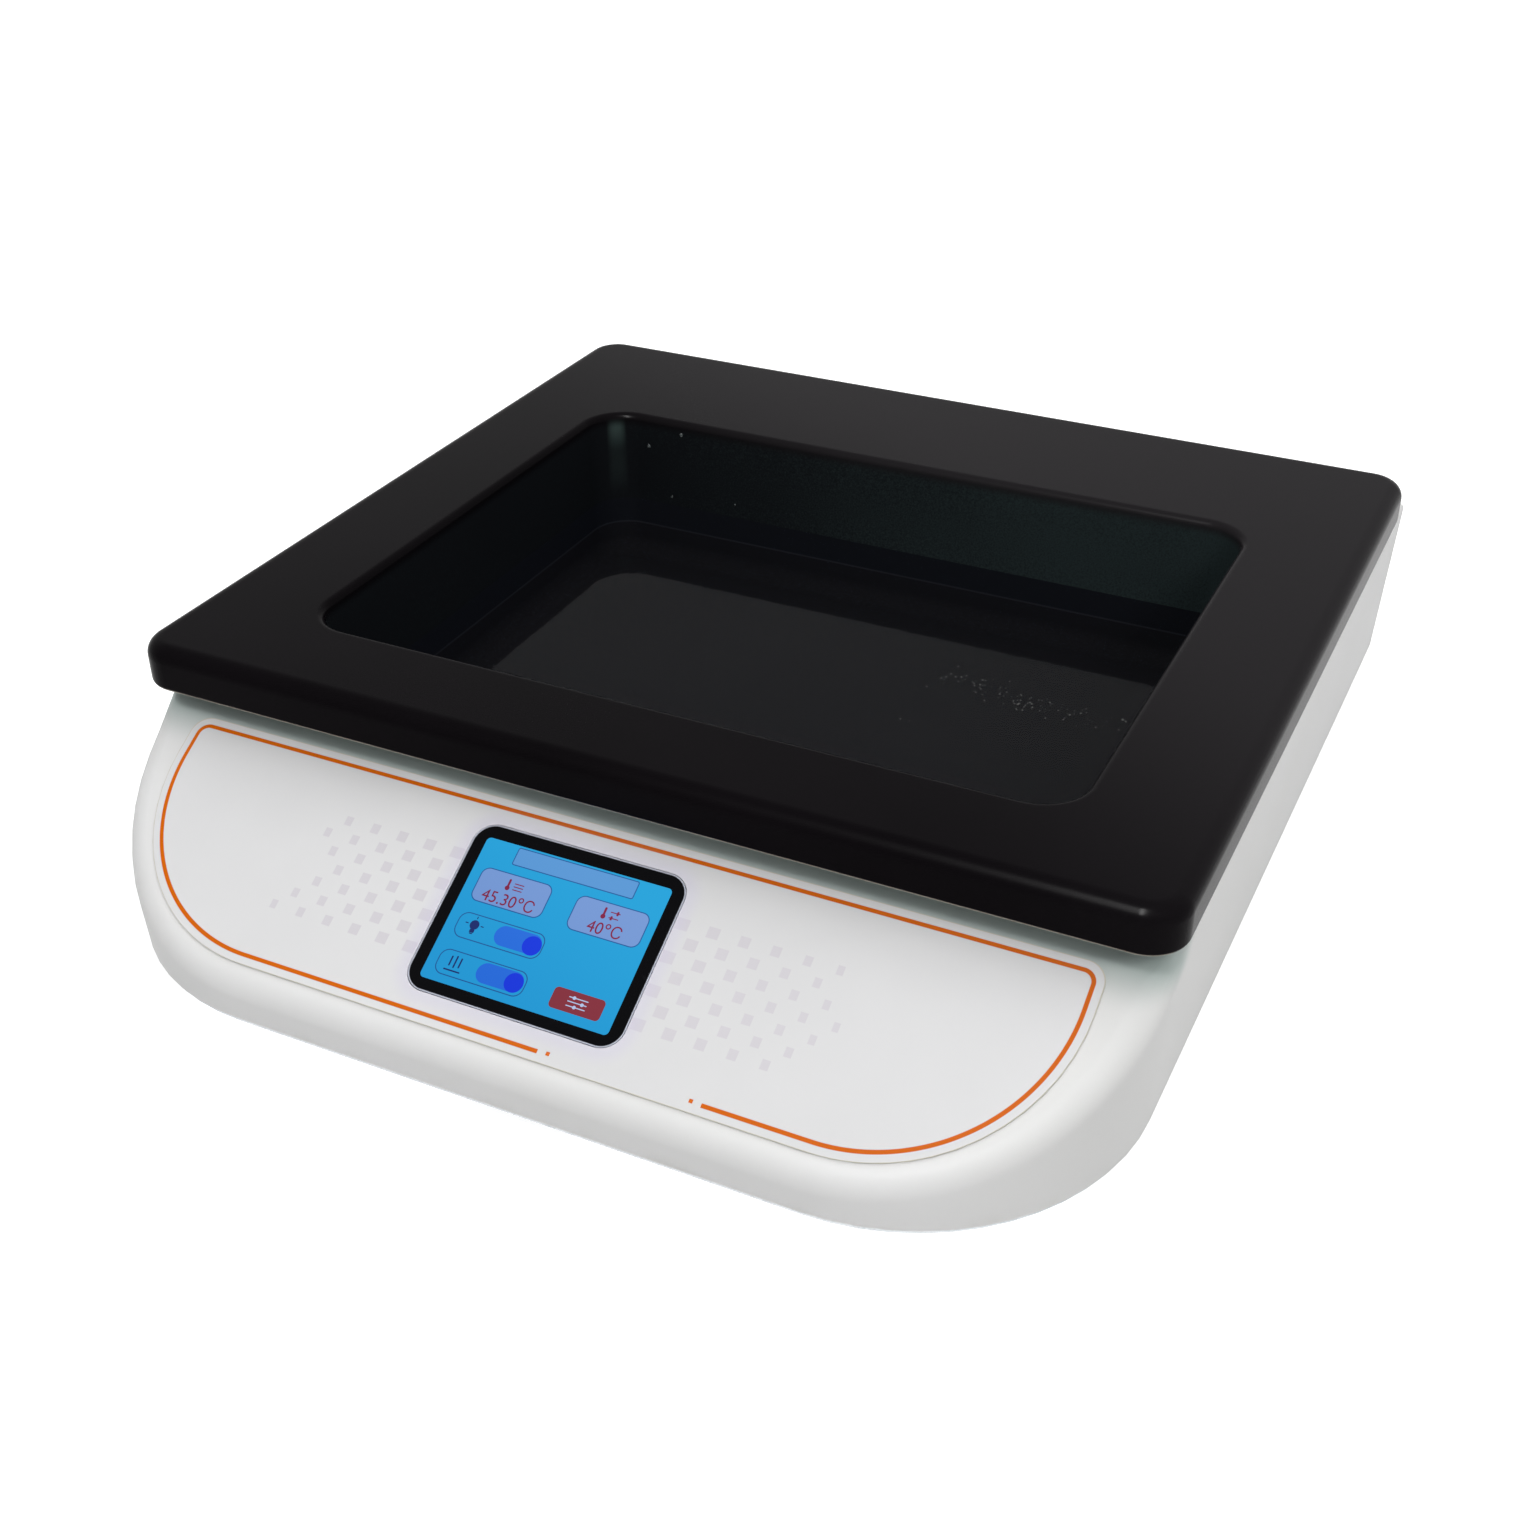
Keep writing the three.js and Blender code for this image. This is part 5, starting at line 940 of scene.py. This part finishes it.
def bowlWater():
    water = {
        "level": 58, "levelDraft": 1 - 18 / 54, "brim": 0.4, "under": 0.1, "lap": 0.15, "edgeSteps": 6,
        "deep": (4, 7, 10), "light": (6, 9, 12), "swell": 14, "ripple": 60, "bend": 1.333,
    }
    under, level, draft = bowl["floor"] - water["under"], water["level"], bowl["draft"]
    edge = quarterCircle(bowl["floorEdge"], water["edgeSteps"])
    rings = [bowlRing(water["lap"] - inward - draft, under + risen) for inward, risen in edge]
    for height in (level - water["brim"], level):
        rings.append(bowlRing(water["lap"] - draft * water["levelDraft"], height))
    shape = ringStack(rings, bowl["steps"])
    wet = Finish("bathWater")
    swell = wet.noise(water["swell"], 2)
    ripple = wet.noise(water["ripple"], 2)
    normal = wet.bump(swell * 0.2 + ripple * 0.1, 0.01, 0.03)
    clear = wet.surface(
        wet.blend(swell, water["deep"], water["light"]), 0.02 + ripple * 0.01, normal=normal,
        Alpha=0.15 + swell * 0.04, IOR=water["bend"],
    )
    finishMesh("bath_water", shape, "coating", clear)


def wallDrops():
    drops = {
        "places": [(-107.7, 92.6, 0.8), (-124.2, 84.5, 0.8), (-113.3, 61.8, 0.6), (-81.5, 64.1, 0.5)],
        "offWall": 0.55, "flatness": (1, 0.55, 1.15), "around": 14, "along": 8,
        "dark": (96, 104, 104), "light": (120, 128, 128), "haze": 500, "bend": 1.333,
    }
    wallY = bowl["middle"] + bowl["depth"] / 2 - drops["offWall"]
    balls = [(across, wallY, height, radius) for across, height, radius in drops["places"]]
    shape = flatBalls(balls, drops["flatness"], drops["around"], drops["along"])
    bead = Finish("waterDrops")
    haze = bead.noise(drops["haze"], 2)
    clear = bead.surface(
        bead.blend(haze, drops["dark"], drops["light"]), 0.08 + haze * 0.04,
        Alpha=0.45 + haze * 0.1, IOR=drops["bend"],
    )
    finishMesh("wall_drops", shape, "coating", clear)


# flat crumbs of scale on the floor, most of them in a drift: its start, end and spread
def scaleCrumbs():
    crumbs = {
        "drift": ((45, 64), (108, 54), (7, 4.5)), "count": 110, "radii": (0.22, 0.46), "seed": 11,
        "others": [
            (36, 24, 0.4), (40, 24, 0.3), (99, -22, 0.4), (118, -40, 0.35), (116, 61, 0.6), (117.5, 60, 0.5),
        ],
        "flatness": (1, 1, 0.3), "liftShare": 0.1, "around": 8, "along": 5,
        "dark": (78, 80, 80), "light": (108, 110, 108), "chalk": 900,
    }
    chance = random.Random(crumbs["seed"])
    (startX, startY), (endX, endY), (spreadX, spreadY) = crumbs["drift"]
    small, large = crumbs["radii"]
    places = list(crumbs["others"])
    for _ in range(crumbs["count"]):
        share = chance.random()
        across = startX + (endX - startX) * share + chance.gauss(0, spreadX)
        along = startY + (endY - startY) * share + chance.gauss(0, spreadY)
        places.append((across, along, small + (large - small) * chance.random() ** 2))
    lift = crumbs["liftShare"]
    balls = [(across, along, bowl["floor"] + radius * lift, radius) for across, along, radius in places]
    shape = flatBalls(balls, crumbs["flatness"], crumbs["around"], crumbs["along"])
    lime = Finish("limeScale")
    chalk = lime.noise(crumbs["chalk"])
    pale = lime.surface(
        lime.blend(chalk, crumbs["dark"], crumbs["light"]), 0.7 + chalk * 0.2,
        normal=lime.bump(chalk, 0.1, 0.5), specular=0.1,
    )
    finishMesh("scale_crumbs", shape, "coating", pale)


bowlWater()
wallDrops()
scaleCrumbs()
print("water is in the bowl")


# Picture on the display: thin plates laid on the glass, in console millimetres

def litFinish(name, colour, second):
    lit = Finish(name)
    x, s = consoleAxes(lit)[:2]
    shown = lit.patches(s + x * 0.4 + lit.noise(40, 2) * 6, colour, second, -70, 5)
    return lit.surface(
        (2, 2, 3), 0.12 + lit.noise(300, 2) * 0.04, Emission_Color=shown, Emission_Strength=1.0,
        specular=0.05,
    )


# plates are given by their middle, width, height and corner
def consolePlate(name, finish, plates, bottom, top, steps=8):
    shape = bmesh.new()
    for across, up, width, height, corner in plates:
        face = roundedFace(shape, width, height, corner, steps, across, up, bottom)
        raised(shape, [face], top - bottom, keep=True)
    shape.transform(consolePlace)
    finishMesh(name, shape, "screen", finish)


def consoleWords(name, finish, words, size, height, thickness):
    shape = bmesh.new()
    for text, across, up in words:
        curve = bpy.data.curves.new(name, "FONT")
        curve.body = text
        curve.size = size * mm
        curve.align_x = "CENTER"
        curve.align_y = "CENTER"
        curve.extrude = thickness * mm
        writing = linked(name, curve)
        bpy.context.view_layer.update()
        mesh = bpy.data.meshes.new_from_object(writing)
        mesh.transform(Matrix.Translation((across * mm, up * mm, height * mm)))
        shape.from_mesh(mesh)
        bpy.data.objects.remove(writing)
        bpy.data.meshes.remove(mesh)
    shape.transform(consolePlace)
    finishMesh(name, shape, "screen", finish)


def displayPicture():
    colours = {
        "sky": ((33, 150, 210), (40, 164, 219)),
        "lilac": ((110, 146, 206), (122, 156, 214)),
        "title": ((80, 144, 206), (94, 154, 214)),
        "outline": ((34, 84, 146), (44, 96, 158)),
        "numbers": ((122, 34, 66), (134, 40, 74)),
        "pill": ((36, 104, 214), (50, 118, 226)),
        "knob": ((24, 54, 216), (30, 64, 226)),
        "button": ((130, 50, 62), (140, 54, 66)),
        "icon": ((28, 44, 104), (36, 54, 118)),
        "mark": ((176, 196, 232), (188, 206, 238)),
    }
    lit = {name: litFinish("lit" + name.capitalize(), *pair) for name, pair in colours.items()}
    # heights over the console's plane: the undersides, then the tops in the order that they overlap
    height = {
        "groundUnder": 0.7, "boxUnder": 0.8, "under": 0.85,
        "ground": 0.86, "edge": 0.88, "box": 0.90, "words": 0.91, "button": 0.92, "sign": 0.93, "knob": 0.95,
    }
    line = 0.35

    def framed(name, across, up, width, tall, corner, fill):
        outer = (across, up, width, tall, corner)
        inner = (across, up, width - 2 * line, tall - 2 * line, corner - line)
        consolePlate(name + "_edge", lit["outline"], [outer], height["boxUnder"], height["edge"])
        consolePlate(name, lit[fill], [inner], height["boxUnder"], height["box"])

    ground = (-5.4, -32.6, 70.1, 52.6, 1.6)
    consolePlate("picture_ground", lit["sky"], [ground], height["groundUnder"], height["ground"])
    framed("title_box", -5.0, -10.2, 45.8, 6.6, 0.8, "title")
    framed("water_box", -23.15, -22.8, 27.1, 12.6, 3, "lilac")
    framed("target_box", 13.25, -22.9, 26.9, 12.6, 3, "lilac")
    framed("lamp_row", -20.25, -37.95, 32.7, 9.3, 3.4, "sky")
    framed("heat_row", -20.3, -51.65, 33.2, 9.1, 3.4, "sky")
    pills = [(-13.3, -37.75, 17.4, 7.1, 3.5), (-13.3, -51.45, 17.4, 7.1, 3.5)]
    knobs = [(-7.8, -38.2, 6.8, 6.8, 3.35), (-7.9, -51.7, 6.8, 6.8, 3.35)]
    consolePlate("switch_pills", lit["pill"], pills, height["under"], height["button"])
    consolePlate("switch_knobs", lit["knob"], knobs, height["under"], height["knob"])
    button = (15.55, -51.95, 18.5, 7.3, 1.5)
    consolePlate("set_button", lit["button"], [button], height["under"], height["button"])
    numbers = [("45.30℃", -22.9, -26.2), ("40℃", 13.4, -26.2)]
    consoleWords("temperatures", lit["numbers"], numbers, 5.9, height["words"], 0.02)

    # small signs in the rows, each from strokes: a middle, a width, a height and a corner
    def sign(name, fill, across, up, strokes):
        plates = [(across + right, up + rise, *sizes) for right, rise, *sizes in strokes]
        consolePlate(name, lit[fill], plates, height["under"], height["sign"], 6)

    bar, tip = 0.34, 0.16
    thermometer = [(-2.6, 0.5, 0.8, 3.2, 0.39), (-2.6, -1.2, 1.7, 1.7, 0.84)]
    waves = [(1.2, rise, 3.6, bar, tip) for rise in (0.9, -0.2, -1.3)]
    limits = [(1.2, 0.9, 3.6, bar, tip), (2.0, 0.9, 0.8, 1.5, 0.3)]
    limits += [(1.2, -1.1, 3.6, bar, tip), (0.4, -1.1, 0.8, 1.5, 0.3)]
    sign("water_sign", "numbers", -22.8, -20.5, thermometer + waves)
    sign("target_sign", "numbers", 13.4, -20.5, thermometer + limits)
    sign("lamp_sign", "icon", -30.2, -37.6, [
        (0, 0.5, 3.4, 3.4, 1.68), (0, -1.7, 1.7, 1.2, 0.2), (0, -2.6, 1.2, 0.4, 0.18),
        (-2.9, 0.6, 1.2, bar, tip), (2.9, 0.6, 1.2, bar, tip), (0, 3.1, bar, 0.9, tip),
    ])
    sign("heat_sign", "icon", -30.4, -51.4, [
        (-1.8, 0.5, 0.55, 3.6, 0.26), (0, 0.5, 0.55, 4.4, 0.26), (1.8, 0.5, 0.55, 3.6, 0.26),
        (0, -2.7, 6.2, 0.5, 0.24),
    ])
    sliders = [(1.5, -1.6), (0, 1.8), (-1.5, -0.4)]
    strokes = []
    for rise, knobX in sliders:
        strokes += [(0, rise, 7.0, bar, tip), (knobX, rise, 1.2, 1.2, 0.58)]
    sign("settings_sign", "mark", 15.55, -51.95, strokes)


displayPicture()
print("display is lit")

print("finished")
